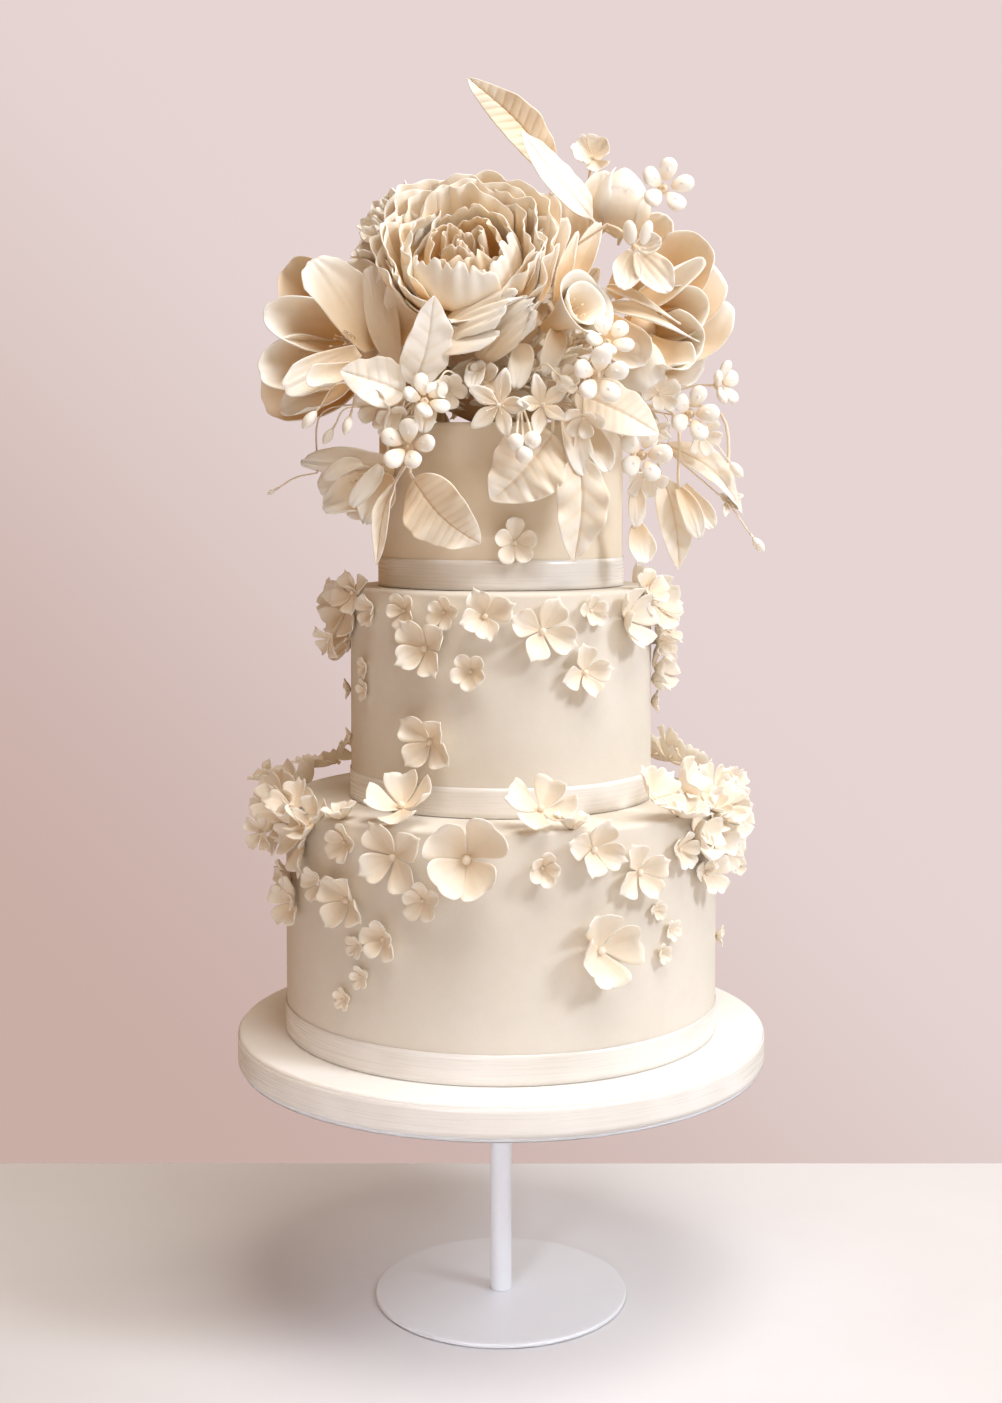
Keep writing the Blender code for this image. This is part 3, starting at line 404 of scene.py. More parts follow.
def makeTurningTree():
    # turns a profile, given as a row of points (radius, 0, height), round the upright axis
    tree, given = newTree("turnedPiece", [
        ("Sides", "NodeSocketInt"), ("Rows", "NodeSocketInt"), ("Wobble", "NodeSocketFloat"),
        ("Seed", "NodeSocketFloat"), ("Finish", "NodeSocketMaterial")])
    columns = addNode(tree, "ShaderNodeMath", {"operation": "ADD"}, {0: given["Sides"], 1: 1.0})
    grid = addNode(tree, "GeometryNodeMeshGrid", {}, {
        "Size X": 1.0, "Size Y": 1.0, "Vertices X": columns.outputs[0], "Vertices Y": given["Rows"]})
    place = addNode(tree, "GeometryNodeInputPosition")
    parts = addNode(tree, "ShaderNodeSeparateXYZ", {}, {0: place.outputs[0]})
    angle = addNode(tree, "ShaderNodeMath", {"operation": "MULTIPLY"}, {
        0: parts.outputs["X"], 1: 2 * math.pi})
    share = addNode(tree, "ShaderNodeMath", {"operation": "ADD"}, {0: parts.outputs["Y"], 1: 0.5})
    last = addNode(tree, "ShaderNodeMath", {"operation": "SUBTRACT"}, {0: given["Rows"], 1: 1.0})
    row = addNode(tree, "ShaderNodeMath", {"operation": "MULTIPLY"}, {
        0: share.outputs[0], 1: last.outputs[0]})
    whole = addNode(tree, "ShaderNodeMath", {"operation": "ROUND"}, {0: row.outputs[0]})
    spot = addNode(tree, "GeometryNodeInputPosition")
    sample = addNode(tree, "GeometryNodeSampleIndex", {"data_type": "FLOAT_VECTOR", "domain": "POINT"}, {
        "Geometry": given["Geometry"], "Value": spot.outputs[0], "Index": whole.outputs[0]})
    profile = addNode(tree, "ShaderNodeSeparateXYZ", {}, {0: sample.outputs[0]})
    cosine = addNode(tree, "ShaderNodeMath", {"operation": "COSINE"}, {0: angle.outputs[0]})
    sine = addNode(tree, "ShaderNodeMath", {"operation": "SINE"}, {0: angle.outputs[0]})
    ring = addNode(tree, "ShaderNodeCombineXYZ", {}, {
        "X": cosine.outputs[0], "Y": sine.outputs[0], "Z": profile.outputs["Z"]})
    noise = addNode(tree, "ShaderNodeTexNoise", {"noise_dimensions": "4D"}, {
        "Vector": ring.outputs[0], "W": given["Seed"], "Scale": 2.2, "Detail": 1.0})
    uneven = addNode(tree, "ShaderNodeMath", {"operation": "SUBTRACT"}, {0: noise.outputs[0], 1: 0.5})
    drift = addNode(tree, "ShaderNodeMath", {"operation": "MULTIPLY"}, {
        0: uneven.outputs[0], 1: given["Wobble"]})
    stretch = addNode(tree, "ShaderNodeMath", {"operation": "ADD"}, {0: 1.0, 1: drift.outputs[0]})
    radius = addNode(tree, "ShaderNodeMath", {"operation": "MULTIPLY"}, {
        0: profile.outputs["X"], 1: stretch.outputs[0]})
    alongX = addNode(tree, "ShaderNodeMath", {"operation": "MULTIPLY"}, {
        0: radius.outputs[0], 1: cosine.outputs[0]})
    alongY = addNode(tree, "ShaderNodeMath", {"operation": "MULTIPLY"}, {
        0: radius.outputs[0], 1: sine.outputs[0]})
    point = addNode(tree, "ShaderNodeCombineXYZ", {}, {
        "X": alongX.outputs[0], "Y": alongY.outputs[0], "Z": profile.outputs["Z"]})
    # the place on the unrolled surface, in metres, which the ribbon's weave follows
    arc = addNode(tree, "ShaderNodeMath", {"operation": "MULTIPLY"}, {
        0: angle.outputs[0], 1: profile.outputs["X"]})
    flat = addNode(tree, "ShaderNodeCombineXYZ", {}, {"X": arc.outputs[0], "Y": profile.outputs["Z"]})
    kept = addNode(tree, "GeometryNodeStoreNamedAttribute", {
        "data_type": "FLOAT_VECTOR", "domain": "POINT"}, {
        "Geometry": grid.outputs["Mesh"], "Name": "surface", "Value": flat.outputs[0]})
    shaped = addNode(tree, "GeometryNodeSetPosition", {}, {
        "Geometry": kept.outputs[0], "Position": point.outputs[0]})
    merged = addNode(tree, "GeometryNodeMergeByDistance", {}, {
        "Geometry": shaped.outputs[0], "Distance": 1e-6})
    closeTree(tree, merged.outputs[0], given["Finish"])
    return tree


def makeHeartTree():
    # repeats a petal or stamen round the heart of every flower given as a point with its turn and size
    tree, given = newTree("roundTheHeart", [
        ("Piece", "NodeSocketObject"), ("Count", "NodeSocketInt"), ("Lean", "NodeSocketFloat"),
        ("Lean Spread", "NodeSocketFloat"), ("Turn Spread", "NodeSocketFloat"),
        ("Size Spread", "NodeSocketFloat"), ("Bead", "NodeSocketFloat"), ("Bead Height", "NodeSocketFloat"),
        ("Seed", "NodeSocketInt"), ("Finish", "NodeSocketMaterial")])
    turn = addNode(tree, "GeometryNodeInputNamedAttribute", {"data_type": "FLOAT_VECTOR"}, {"Name": "turn"})
    size = addNode(tree, "GeometryNodeInputNamedAttribute", {"data_type": "FLOAT"}, {"Name": "size"})
    facing = addNode(tree, "FunctionNodeEulerToRotation", {}, {0: turn.outputs[0]})
    copies = addNode(tree, "GeometryNodeDuplicateElements", {"domain": "POINT"}, {
        "Geometry": given["Geometry"], "Amount": given["Count"]})
    step = addNode(tree, "ShaderNodeMath", {"operation": "DIVIDE"}, {0: 2 * math.pi, 1: given["Count"]})
    spin = addNode(tree, "ShaderNodeMath", {"operation": "MULTIPLY"}, {
        0: copies.outputs[1], 1: step.outputs[0]})
    minusTurn = addNode(tree, "ShaderNodeMath", {"operation": "MULTIPLY"}, {
        0: given["Turn Spread"], 1: -1.0})
    stray = addNode(tree, "FunctionNodeRandomValue", {"data_type": "FLOAT"}, {
        2: minusTurn.outputs[0], 3: given["Turn Spread"], "Seed": given["Seed"]})
    around = addNode(tree, "ShaderNodeMath", {"operation": "ADD"}, {0: spin.outputs[0], 1: stray.outputs[1]})
    minusLean = addNode(tree, "ShaderNodeMath", {"operation": "MULTIPLY"}, {
        0: given["Lean Spread"], 1: -1.0})
    nod = addNode(tree, "FunctionNodeRandomValue", {"data_type": "FLOAT"}, {
        2: minusLean.outputs[0], 3: given["Lean Spread"], "Seed": given["Seed"]})
    lean = addNode(tree, "ShaderNodeMath", {"operation": "ADD"}, {0: given["Lean"], 1: nod.outputs[1]})
    tilt = addNode(tree, "ShaderNodeCombineXYZ", {}, {"Y": lean.outputs[0]})
    tiltTurn = addNode(tree, "FunctionNodeEulerToRotation", {}, {0: tilt.outputs[0]})
    swing = addNode(tree, "ShaderNodeCombineXYZ", {}, {"Z": around.outputs[0]})
    swingTurn = addNode(tree, "FunctionNodeEulerToRotation", {}, {0: swing.outputs[0]})
    swung = addNode(tree, "FunctionNodeRotateRotation", {"rotation_space": "LOCAL"}, {
        0: facing.outputs[0], 1: swingTurn.outputs[0]})
    tilted = addNode(tree, "FunctionNodeRotateRotation", {"rotation_space": "LOCAL"}, {
        0: swung.outputs[0], 1: tiltTurn.outputs[0]})
    minusSize = addNode(tree, "ShaderNodeMath", {"operation": "SUBTRACT"}, {0: 1.0, 1: given["Size Spread"]})
    share = addNode(tree, "FunctionNodeRandomValue", {"data_type": "FLOAT"}, {
        2: minusSize.outputs[0], 3: 1.0, "Seed": given["Seed"]})
    scale = addNode(tree, "ShaderNodeMath", {"operation": "MULTIPLY"}, {
        0: size.outputs[0], 1: share.outputs[1]})
    piece = addNode(tree, "GeometryNodeObjectInfo", {}, {"Object": given["Piece"]})
    petals = addNode(tree, "GeometryNodeInstanceOnPoints", {}, {
        "Points": copies.outputs[0], "Instance": piece.outputs["Geometry"],
        "Rotation": tilted.outputs[0], "Scale": scale.outputs[0]})
    ball = addNode(tree, "GeometryNodeMeshUVSphere", {}, {
        "Segments": 10, "Rings": 7, "Radius": given["Bead"]})
    lift = addNode(tree, "ShaderNodeCombineXYZ", {}, {"Z": given["Bead Height"]})
    raised = addNode(tree, "GeometryNodeTransform", {}, {
        "Geometry": ball.outputs["Mesh"], "Translation": lift.outputs[0]})
    # the bead gets a fixed share of the warm tone and painted shade
    tinted = addNode(tree, "GeometryNodeStoreNamedAttribute", {"data_type": "FLOAT", "domain": "POINT"}, {
        "Geometry": raised.outputs[0], "Name": "depth", "Value": 0.25})
    beads = addNode(tree, "GeometryNodeInstanceOnPoints", {}, {
        "Points": given["Geometry"], "Instance": tinted.outputs[0], "Rotation": facing.outputs[0],
        "Scale": size.outputs[0]})
    both = addNode(tree, "GeometryNodeJoinGeometry")
    tree.links.new(petals.outputs[0], both.inputs[0])
    tree.links.new(beads.outputs[0], both.inputs[0])
    closeTree(tree, both.outputs[0], given["Finish"])
    return tree


def makeWireTree():
    # a round stem along each row of joined points
    tree, given = newTree("pasteWire", [
        ("Radius", "NodeSocketFloat"), ("Sides", "NodeSocketInt"), ("Finish", "NodeSocketMaterial")])
    curve = addNode(tree, "GeometryNodeMeshToCurve", {}, {"Mesh": given["Geometry"]})
    circle = addNode(tree, "GeometryNodeCurvePrimitiveCircle", {}, {
        "Radius": given["Radius"], "Resolution": given["Sides"]})
    tube = addNode(tree, "GeometryNodeCurveToMesh", {}, {
        "Curve": curve.outputs[0], "Profile Curve": circle.outputs[0], "Fill Caps": True})
    # stems get a fixed share of the warm tone and painted shade
    tinted = addNode(tree, "GeometryNodeStoreNamedAttribute", {"data_type": "FLOAT", "domain": "POINT"}, {
        "Geometry": tube.outputs[0], "Name": "depth", "Value": 0.35})
    closeTree(tree, tinted.outputs[0], given["Finish"])
    return tree


turningTree, heartTree, wireTree = makeTurningTree(), makeHeartTree(), makeWireTree()
print("trees made")


def meshParts(mesh):
    # a made mesh as a part for paste()
    verts = np.zeros(len(mesh.vertices) * 3)
    mesh.vertices.foreach_get("co", verts)
    faces = []
    for polygon in mesh.polygons:
        corners = list(polygon.vertices)
        if len(corners) == 3:
            faces.append((*corners, corners[-1]))
        elif len(corners) == 4:
            faces.append(tuple(corners))
        else:
            faces += [(corners[0], a, b, b) for a, b in zip(corners[1:], corners[2:])]
    depth = np.full(len(mesh.vertices), 0.3)
    if "depth" in mesh.attributes:
        mesh.attributes["depth"].data.foreach_get("value", depth)
    return verts.reshape(-1, 3), np.array(faces), depth


def wires(paths, radius, sides=6):
    mesh = bpy.data.meshes.new("paths")
    points = [tuple(p) for path in paths for p in path]
    edges, start = [], 0
    for path in paths:
        edges += [(start + i, start + i + 1) for i in range(len(path) - 1)]
        start += len(path)
    mesh.from_pydata(points, edges, [])
    return meshParts(runTree(wireTree, mesh, {"Radius": radius, "Sides": sides, "Finish": flowerPaste}))


def bend(points, steps=6):
    # a smooth line through the points
    points = [Vector(p) for p in points]
    ends = [2 * points[0] - points[1], *points, 2 * points[-1] - points[-2]]
    line = []
    for a, b, c, d in zip(ends, ends[1:], ends[2:], ends[3:]):
        for i in range(steps):
            t = i / steps
            line.append(0.5 * (2 * b + (c - a) * t + (2 * a - 5 * b + 4 * c - d) * t**2
                               + (3 * b - a - 3 * c + d) * t**3))
    return [*line, points[-1]]


# Stand, drum, tiers and ribbons

standSizes = {"footRadius": 0.085, "footThickness": 0.003, "postRadius": 0.0072, "plateRadius": 0.174,
              "plateBottom": 0.165, "plateThickness": 0.003, "edge": 0.0011}
# radius, foot and height of the iced drum and of each tier
tierSizes = {
    "drum": (0.1752, 0.1683, 0.020), "bottom": (0.1435, 0.1886, 0.1533), "middle": (0.1000, 0.3422, 0.1397),
    "top": (0.0808, 0.4822, 0.1052)}
gap = 0.0003  # between pieces that touch


def rounded(radius, bottom, top, edge, steps=4):
    # the profile of a disc or tier from its top's middle down to its foot's middle
    turns = [math.pi / 2 * i / steps for i in range(steps + 1)]
    rounding = [(radius - edge + edge * math.sin(a), top - edge + edge * math.cos(a)) for a in turns]
    side = [(radius, top - edge - (top - edge - bottom) * i / 8) for i in range(1, 8)]
    soft = min(0.0008, 0.3 * (top - bottom))  # the foot's own small rounding
    return [(0.0, top), (0.5 * radius, top), (radius - edge - 0.004, top), *rounding, *side,
            (radius, bottom + soft), (radius - soft, bottom), (0.0, bottom)]


def turnedMesh(profile, material, sides=128, wobbleSize=0.0, seed=0.0):
    mesh = bpy.data.meshes.new("profile")
    mesh.from_pydata([(r, 0.0, z) for r, z in profile], [], [])
    return runTree(turningTree, mesh, {"Sides": sides, "Rows": len(profile), "Wobble": wobbleSize,
                                       "Seed": seed, "Finish": material})


def buildStand():
    s = standSizes
    foot = rounded(s["footRadius"], 0.0, s["footThickness"], s["edge"])
    addPiece("steelFoot", turnedMesh(foot, paintedSteel), "stand_foot")
    r, low, high = s["postRadius"], s["footThickness"] + gap, s["plateBottom"] - gap
    heights = (high, high - 0.001, 0.12, 0.06, low + 0.001, low)
    post = [(0.0, high), *[(r, z) for z in heights], (0.0, low)]
    addPiece("steelPost", turnedMesh(post, paintedSteel, 48), "stand_post")
    plate = rounded(s["plateRadius"], s["plateBottom"], s["plateBottom"] + s["plateThickness"], s["edge"])
    addPiece("steelPlate", turnedMesh(plate, paintedSteel), "stand_plate")


def buildTiers():
    # rounding of the upper edge, how far the hand leaves the side out of round, and the icing; the drum's
    # whiter icing is painted light and the top tier's creamier icing painted warm shade
    tiers = {"drum": (0.0022, 0.0015, paintedLightBoardIcing), "bottom": (0.0030, 0.004, rolledIcing),
             "middle": (0.0030, 0.004, rolledIcing), "top": (0.0030, 0.004, paintedShadeTopIcing)}
    for i, (name, (edge, uneven, icing)) in enumerate(tiers.items()):
        radius, foot, height = tierSizes[name]
        mesh = turnedMesh(rounded(radius, foot, foot + height, edge, 7), icing, 144, uneven, 3.0 + i)
        piece, node = ("icedDrum", "drum") if name == "drum" else (f"icedTier{name.title()}", f"tier_{name}")
        addPiece(piece, mesh, node)


def buildRibbons():
    ribbon = {"height": 0.019, "thickness": 0.0006, "belowDrumEdge": 0.0025, "lift": 0.0002,
              "selvedge": 0.0001}
    for i, (name, (radius, foot, height)) in enumerate(tierSizes.items()):
        tall = height - ribbon["belowDrumEdge"] if name == "drum" else ribbon["height"]
        inner, outer = radius + gap, radius + gap + ribbon["thickness"]
        low, high, edge = foot + ribbon["lift"], foot + tall, outer - ribbon["selvedge"]
        steps = [high - (high - low) * k / 6 for k in range(1, 6)]
        profile = [(inner, high), (edge, high), *[(outer, z) for z in steps], (edge, low), (inner, low),
                   (inner, high)]
        mesh = turnedMesh(profile, satinRibbon, 144, 0.0, 9.0 + i)
        addPiece(f"satinRibbon{name.title()}", mesh, f"ribbon_{name}")


buildStand()
buildTiers()
buildRibbons()
print("stand, tiers and ribbons made")


# Blossoms on the tiers

def fanPetal(shape, rng, cols=11, rows=9):
    # one open petal lying along +X, its foot at the origin, for a blossom 1 wide
    u, v = np.linspace(-1, 1, cols)[None, :], np.linspace(0, 1, rows)[:, None]
    edge = (1 - shape["round"] * np.abs(u) ** shape["power"]
            + shape["tip"] * np.exp(-(np.abs(u) / 0.16) ** 1.3))
    ripple = wobble(rng, 3, 3.0)
    edge = edge * (1 + 0.025 * ripple(u))
    half = shape["half"] * (0.09 + 0.91 * np.sin(np.pi * (0.03 + shape["taper"] * v)) ** 2.1)
    x = 0.5 * v * edge
    y = u * half
    z = shape["cup"] * (v * edge) ** 1.7 + shape["side"] * half * np.abs(u) ** 2 * v
    z = z - shape["flare"] * np.clip(v - 0.72, 0, 1) ** 2 * edge + shape["frill"] * v**2 * ripple(u + 0.8)
    z = z - 0.012 * np.exp(-(u / 0.10) ** 2) * v * (1 - 0.4 * v) * 2 * shape["vein"]
    return np.stack([x, y, z + 0.012], -1)


petalShapes = {
    "pointed": {"round": 0.17, "power": 2.2, "tip": 0.150, "half": 0.228, "taper": 0.62, "cup": 0.22,
                "side": 0.85, "flare": 0.6, "frill": 0.026, "vein": 1.4, "thick": 0.026},
    "round": {"round": 0.14, "power": 2.4, "tip": -0.035, "half": 0.265, "taper": 0.57, "cup": 0.20,
              "side": 0.70, "flare": -0.3, "frill": 0.032, "vein": 1.0, "thick": 0.024},
    "small": {"round": 0.16, "power": 2.4, "tip": 0.0, "half": 0.198, "taper": 0.60, "cup": 0.32,
              "side": 0.65, "flare": 0.6, "frill": 0.018, "vein": 1.4, "thick": 0.042},
    "tiny": {"round": 0.18, "power": 2.4, "tip": 0.0, "half": 0.195, "taper": 0.60, "cup": 0.32, "side": 0.45,
             "flare": 0.8, "frill": 0.012, "vein": 1.0, "thick": 0.065},
    "oval": {"round": 0.34, "power": 2.2, "tip": 0.03, "half": 0.130, "taper": 0.60, "cup": 0.17,
             "side": 0.20, "flare": 0.25, "frill": 0.018, "vein": 1.4, "thick": 0.034},
}


def makeTemplate(name, parts):
    template = newObject(name, paste(name, parts))
    template.hide_render = True
    templates.append(template)
    return template


templates, petalTemplates = [], {}


def makePetals(kind, seed, cols, rows, foot, rim):
    # three petals of one outline, each a little different
    shape = petalShapes[kind]
    grids = [fanPetal(shape, np.random.default_rng(seed + i), cols, rows) for i in range(3)]
    # foot and rim give the painted shade at each petal's foot and rim
    petalTemplates[kind] = [makeTemplate(f"petal_{kind}_{i}", [shell(grid, shape["thick"], 0.62, foot, rim)])
                            for i, grid in enumerate(grids)]


for kind, seed, cols, rows, foot, rim in (
        ("pointed", 0, 13, 10, 0.42, 0.10), ("round", 40, 13, 10, 0.42, 0.10),
        ("small", 80, 9, 7, 0.42, 0.10), ("tiny", 120, 7, 5, 0.42, 0.10), ("oval", 300, 9, 8, 0.5, 0.0)):
    makePetals(kind, seed, cols, rows, foot, rim)


def roundTheHeart(places, piece, count, seed, lean, leanSpread, turnSpread, sizeSpread, bead, beadHeight):
    # places are (matrix, width) of each flower
    points = bpy.data.meshes.new("hearts")
    points.from_pydata([tuple(m.translation) for m, _ in places], [], [])
    turns = points.attributes.new("turn", "FLOAT_VECTOR", "POINT")
    turns.data.foreach_set("vector", [a for m, _ in places for a in m.to_euler("XYZ")])
    points.attributes.new("size", "FLOAT", "POINT").data.foreach_set("value", [w for _, w in places])
    return runTree(heartTree, points, {
        "Piece": piece, "Count": count, "Lean": lean, "Lean Spread": leanSpread, "Turn Spread": turnSpread,
        "Size Spread": sizeSpread, "Bead": bead, "Bead Height": beadHeight, "Seed": seed,
        "Finish": flowerPaste})


def blossomMesh(places, kind, petals, seed, bead=0.052):
    return roundTheHeart(places, petalTemplates[kind][seed % 3], petals, seed, -0.06, 0.26, 0.09, 0.12,
                         bead, 0.06)


def blossom(place, width, kind, petals, seed, bead=0.052):
    return meshParts(blossomMesh([(place, width)], kind, petals, seed, bead))


# each blossom: azimuth, width, petals, outline, spin, drop below the tier's top, lean, inset on the ledge
tierEdge = 0.005
middleBlossoms = [
    (-5.5, 0.0285, 4, "pointed", 20, 0.0140), (14.5, 0.0310, 4, "pointed", 62, 0.0235),
    (52.0, 0.0320, 4, "round", 20, 0.0190), (-27.5, 0.0320, 4, "pointed", 38, 0.0350),
    (31.0, 0.0260, 4, "pointed", 10, 0.0500), (-25.8, 0.0310, 4, "pointed", 50, 0.0930)]
middleSmall = [
    (-54.9, 0.0178, 10, 0.0125), (-36.5, 0.0182, 40, 0.0120), (-20.4, 0.0172, 0, 0.0120),
    (33.5, 0.0172, 25, 0.0120), (-10.6, 0.0200, 50, 0.0485), (-59.5, 0.0115, 0, 0.0500),
    (-59.6, 0.0115, 30, 0.0650), (-86.0, 0.0115, 15, 0.0690), (-80.0, 0.0100, 50, 0.0990),
    (84.0, 0.0172, 20, 0.0620), (88.0, 0.0130, 20, 0.0780), (176.0, 0.0200, 30, 0.0480),
    (128.0, 0.0115, 30, 0.0560), (-140.0, 0.0115, 0, 0.0600)]
bottomBlossoms = [
    (-8.0, 0.0440, 4, "round", 45, 0.0160), (-26.5, 0.0335, 4, "pointed", 30, 0.0175),
    (24.4, 0.0370, 4, "round", 8, 0.0735), (22.6, 0.0300, 4, "pointed", 70, 0.0120),
    (35.6, 0.0290, 4, "pointed", 25, 0.0290), (-40.6, 0.0310, 4, "pointed", 60, 0.0480),
    (-61.0, 0.0350, 4, "pointed", 15, 0.0150), (-29.0, 0.0350, 4, "round", 20, 0.0, 62, 0.0160),
    (10.5, 0.0320, 4, "round", 60, 0.0, 52, 0.0120), (44.0, 0.0320, 4, "pointed", 30, 0.0, 40, 0.0080),
    (62.0, 0.0320, 4, "round", 10, 0.0, 38, 0.0120)]
bottomSmall = [
    (-52.4, 0.0186, 30, 0.0415), (-41.5, 0.0200, 0, 0.0125), (-19.0, 0.0200, 15, 0.0420),
    (-29.6, 0.0210, 20, 0.0685), (-71.0, 0.0225, 20, 0.0490), (9.8, 0.0195, 0, 0.0215),
    (50.0, 0.0210, 15, 0.0200), (64.0, 0.0220, 35, 0.0260), (-37.6, 0.0122, 0, 0.0750),
    (-36.2, 0.0122, 30, 0.0940), (-42.0, 0.0122, 10, 0.1095), (41.3, 0.0112, 20, 0.0545),
    (46.5, 0.0122, 50, 0.0690), (42.8, 0.0122, 35, 0.0820), (84.0, 0.0125, 15, 0.0930),
    (150.0, 0.0200, 10, 0.0480), (-158.0, 0.0200, 35, 0.0450), (115.0, 0.0122, 20, 0.0620),
    (-120.0, 0.0122, 40, 0.0600)]
middleClusters = {
    "left": [(-76.0, 0.0300, 4, "round", 30, 0.0150), (-88.5, 0.0310, 4, "round", 60, 0.0130),
             (-101.0, 0.0290, 4, "pointed", 30, 0.0150)],
    "right": [(80.0, 0.0300, 4, "pointed", 30, 0.0150), (92.0, 0.0310, 4, "pointed", 10, 0.0170),
              (104.0, 0.0290, 4, "round", 10, 0.0140), (86.0, 0.0270, 4, "pointed", 40, 0.0380)],
    "back": [(169.0, 0.0300, 4, "pointed", 20, 0.0160), (181.0, 0.0320, 4, "round", 0, 0.0200),
             (193.0, 0.0300, 4, "pointed", 40, 0.0160)]}
bottomClusters = {
    "left": [(-80.0, 0.0320, 4, "round", 50, 0.0, 30), (-89.5, 0.0320, 4, "round", 10, 0.0, 36),
             (-99.0, 0.0330, 4, "round", 40, 0.0, 40), (-85.0, 0.0310, 4, "pointed", 0, 0.0190)],
    "left_back": [(-119.0, 0.0330, 4, "pointed", 40, 0.0, 50, 0.0100),
                  (-130.0, 0.0340, 4, "round", 70, 0.0, 48, 0.0100),
                  (-141.0, 0.0330, 4, "pointed", 10, 0.0, 48, 0.0100)],
    "right": [(70.5, 0.0330, 4, "pointed", 45, 0.0, 24), (79.5, 0.0350, 4, "round", 20, 0.0120),
              (89.0, 0.0350, 4, "round", 60, 0.0100), (97.0, 0.0340, 4, "pointed", 30, 0.0, 40),
              (84.5, 0.0300, 4, "pointed", 20, 0.0340)],
    "right_back": [(108.0, 0.0340, 4, "round", 40, 0.0, 45, 0.0090),
                   (119.0, 0.0340, 4, "pointed", 10, 0.0, 42, 0.0090),
                   (128.5, 0.0350, 4, "round", 45, 0.0, 42, 0.0090)],
    "back": [(168.5, 0.0340, 4, "pointed", 45, 0.0160), (178.5, 0.0380, 4, "round", 10, 0.0210),
             (189.0, 0.0340, 4, "round", 50, 0.0180)]}


def blossomPlace(azimuth, width, spin, drop, lean, inset, radius, top, aim=(0, 0, 0)):
    out, up = math.cos(math.radians(lean)), math.sin(math.radians(lean))
    reach, height = radius + gap, top - drop
    if lean:
        reach = radius - tierEdge - inset + (tierEdge + gap) * out
        height = top - tierEdge - drop + (tierEdge + gap) * up
        if inset:
            height = top + gap + width / 2 * out
    turn = math.radians(azimuth)
    ahead = Vector((math.sin(turn), -math.cos(turn), 0))
    reach += 0.16 * width * Vector(aim).length  # a blossom turned to the front stands off the side
    facing = ahead * out + Vector((0, 0, up)) + Vector(aim)
    return facingMatrix(ahead * reach + Vector((0, 0, height)), facing, spin)


blossomFullness = 1.30  # a blossom's drawn width over its width in the tables


def blossomParts(specs, tier, seed, companions=0, aim=(0, 0, 0), fullness=blossomFullness):
    radius, foot, height = tierSizes[tier]
    rng = np.random.default_rng(900 + seed)
    parts = []
    for i, spec in enumerate(specs):
        azimuth, width, petals, outline, spin, drop, lean, inset = (*spec, 0.0, 0.0)[:8]
        place = blossomPlace(azimuth, width, spin, drop, lean, inset, radius, foot + height, aim)
        parts.append(blossom(place, width * fullness, outline, petals, seed + i))
        if aim != (0, 0, 0):
            back = blossomPlace(azimuth, width, spin, drop, lean, inset, radius - 0.002, foot + height)
            parts.append(wires([[back.translation, place @ Vector((0, 0, 0.003))]], 0.0014))
        for c in range(companions):
            # smaller blossoms tucked between, each face turned another way, on a short stub of paste
            side = rng.uniform(-0.55, 0.55, 2) * width
            nod = Matrix.Rotation(rng.uniform(-0.5, 0.5), 4, "X")
            nod = nod @ Matrix.Rotation(rng.uniform(-0.5, 0.5), 4, "Y")
            rise = rng.uniform(0.10, 0.26) * width
            near = place @ Matrix.Translation((side[0], side[1], rise)) @ nod
            size = width * rng.uniform(0.62, 0.88)
            kind, petals = (("pointed", 4), ("round", 4), ("small", 5))[(i + c) % 3]
            parts.append(blossom(near, size, kind, petals, seed + 31 * c + i))
            parts.append(wires([[place.translation, near @ Vector((0, 0, 0.002))]], 0.0012))
    return parts


def buildTierBlossoms():
    for tier, specs in (("bottom", bottomBlossoms), ("middle", middleBlossoms)):
        for i, spec in enumerate(specs, 1):
            node = f"blossom_{tier}_{i:02d}"
            addPaste(pieceName(node), blossomParts([spec], tier, 7 * i), node)
    top = (6.0, 0.0225, 5, "small", 15, 0.0750)
    addPaste("sugarBlossomTop", blossomParts([top], "top", 5), "blossom_top")
    # the smallest ones lie flat on the side and have fewer faces
    for tier, small in (("middle", middleSmall), ("bottom", bottomSmall)):
        radius, foot, height = tierSizes[tier]
        for kind, low, high in (("small", 0.015, 1.0), ("tiny", 0.0, 0.015)):
            places = [(blossomPlace(a, w, s, d, 0, 0, radius, foot + height), w * blossomFullness)
                      for a, w, s, d in small if low <= w < high]
            addPiece(f"{kind}Blossoms{tier.title()}", blossomMesh(places, kind, 5, 11))
    # the runs at the rims turn to the front, and those behind turn up
    for tier, clusters in (("bottom", bottomClusters), ("middle", middleClusters)):
        for i, (side, specs) in enumerate(clusters.items()):
            aim, fullness = ((0, 0, 0.35), 1.02) if "back" in side else ((0, -0.75, 0.20), 1.15)
            addPaste(f"blossomRun{tier.title()}{side.title().replace('_', '')}",
                     blossomParts(specs, tier, 13 * i, 1, aim, fullness), f"cluster_{tier}_{side}")


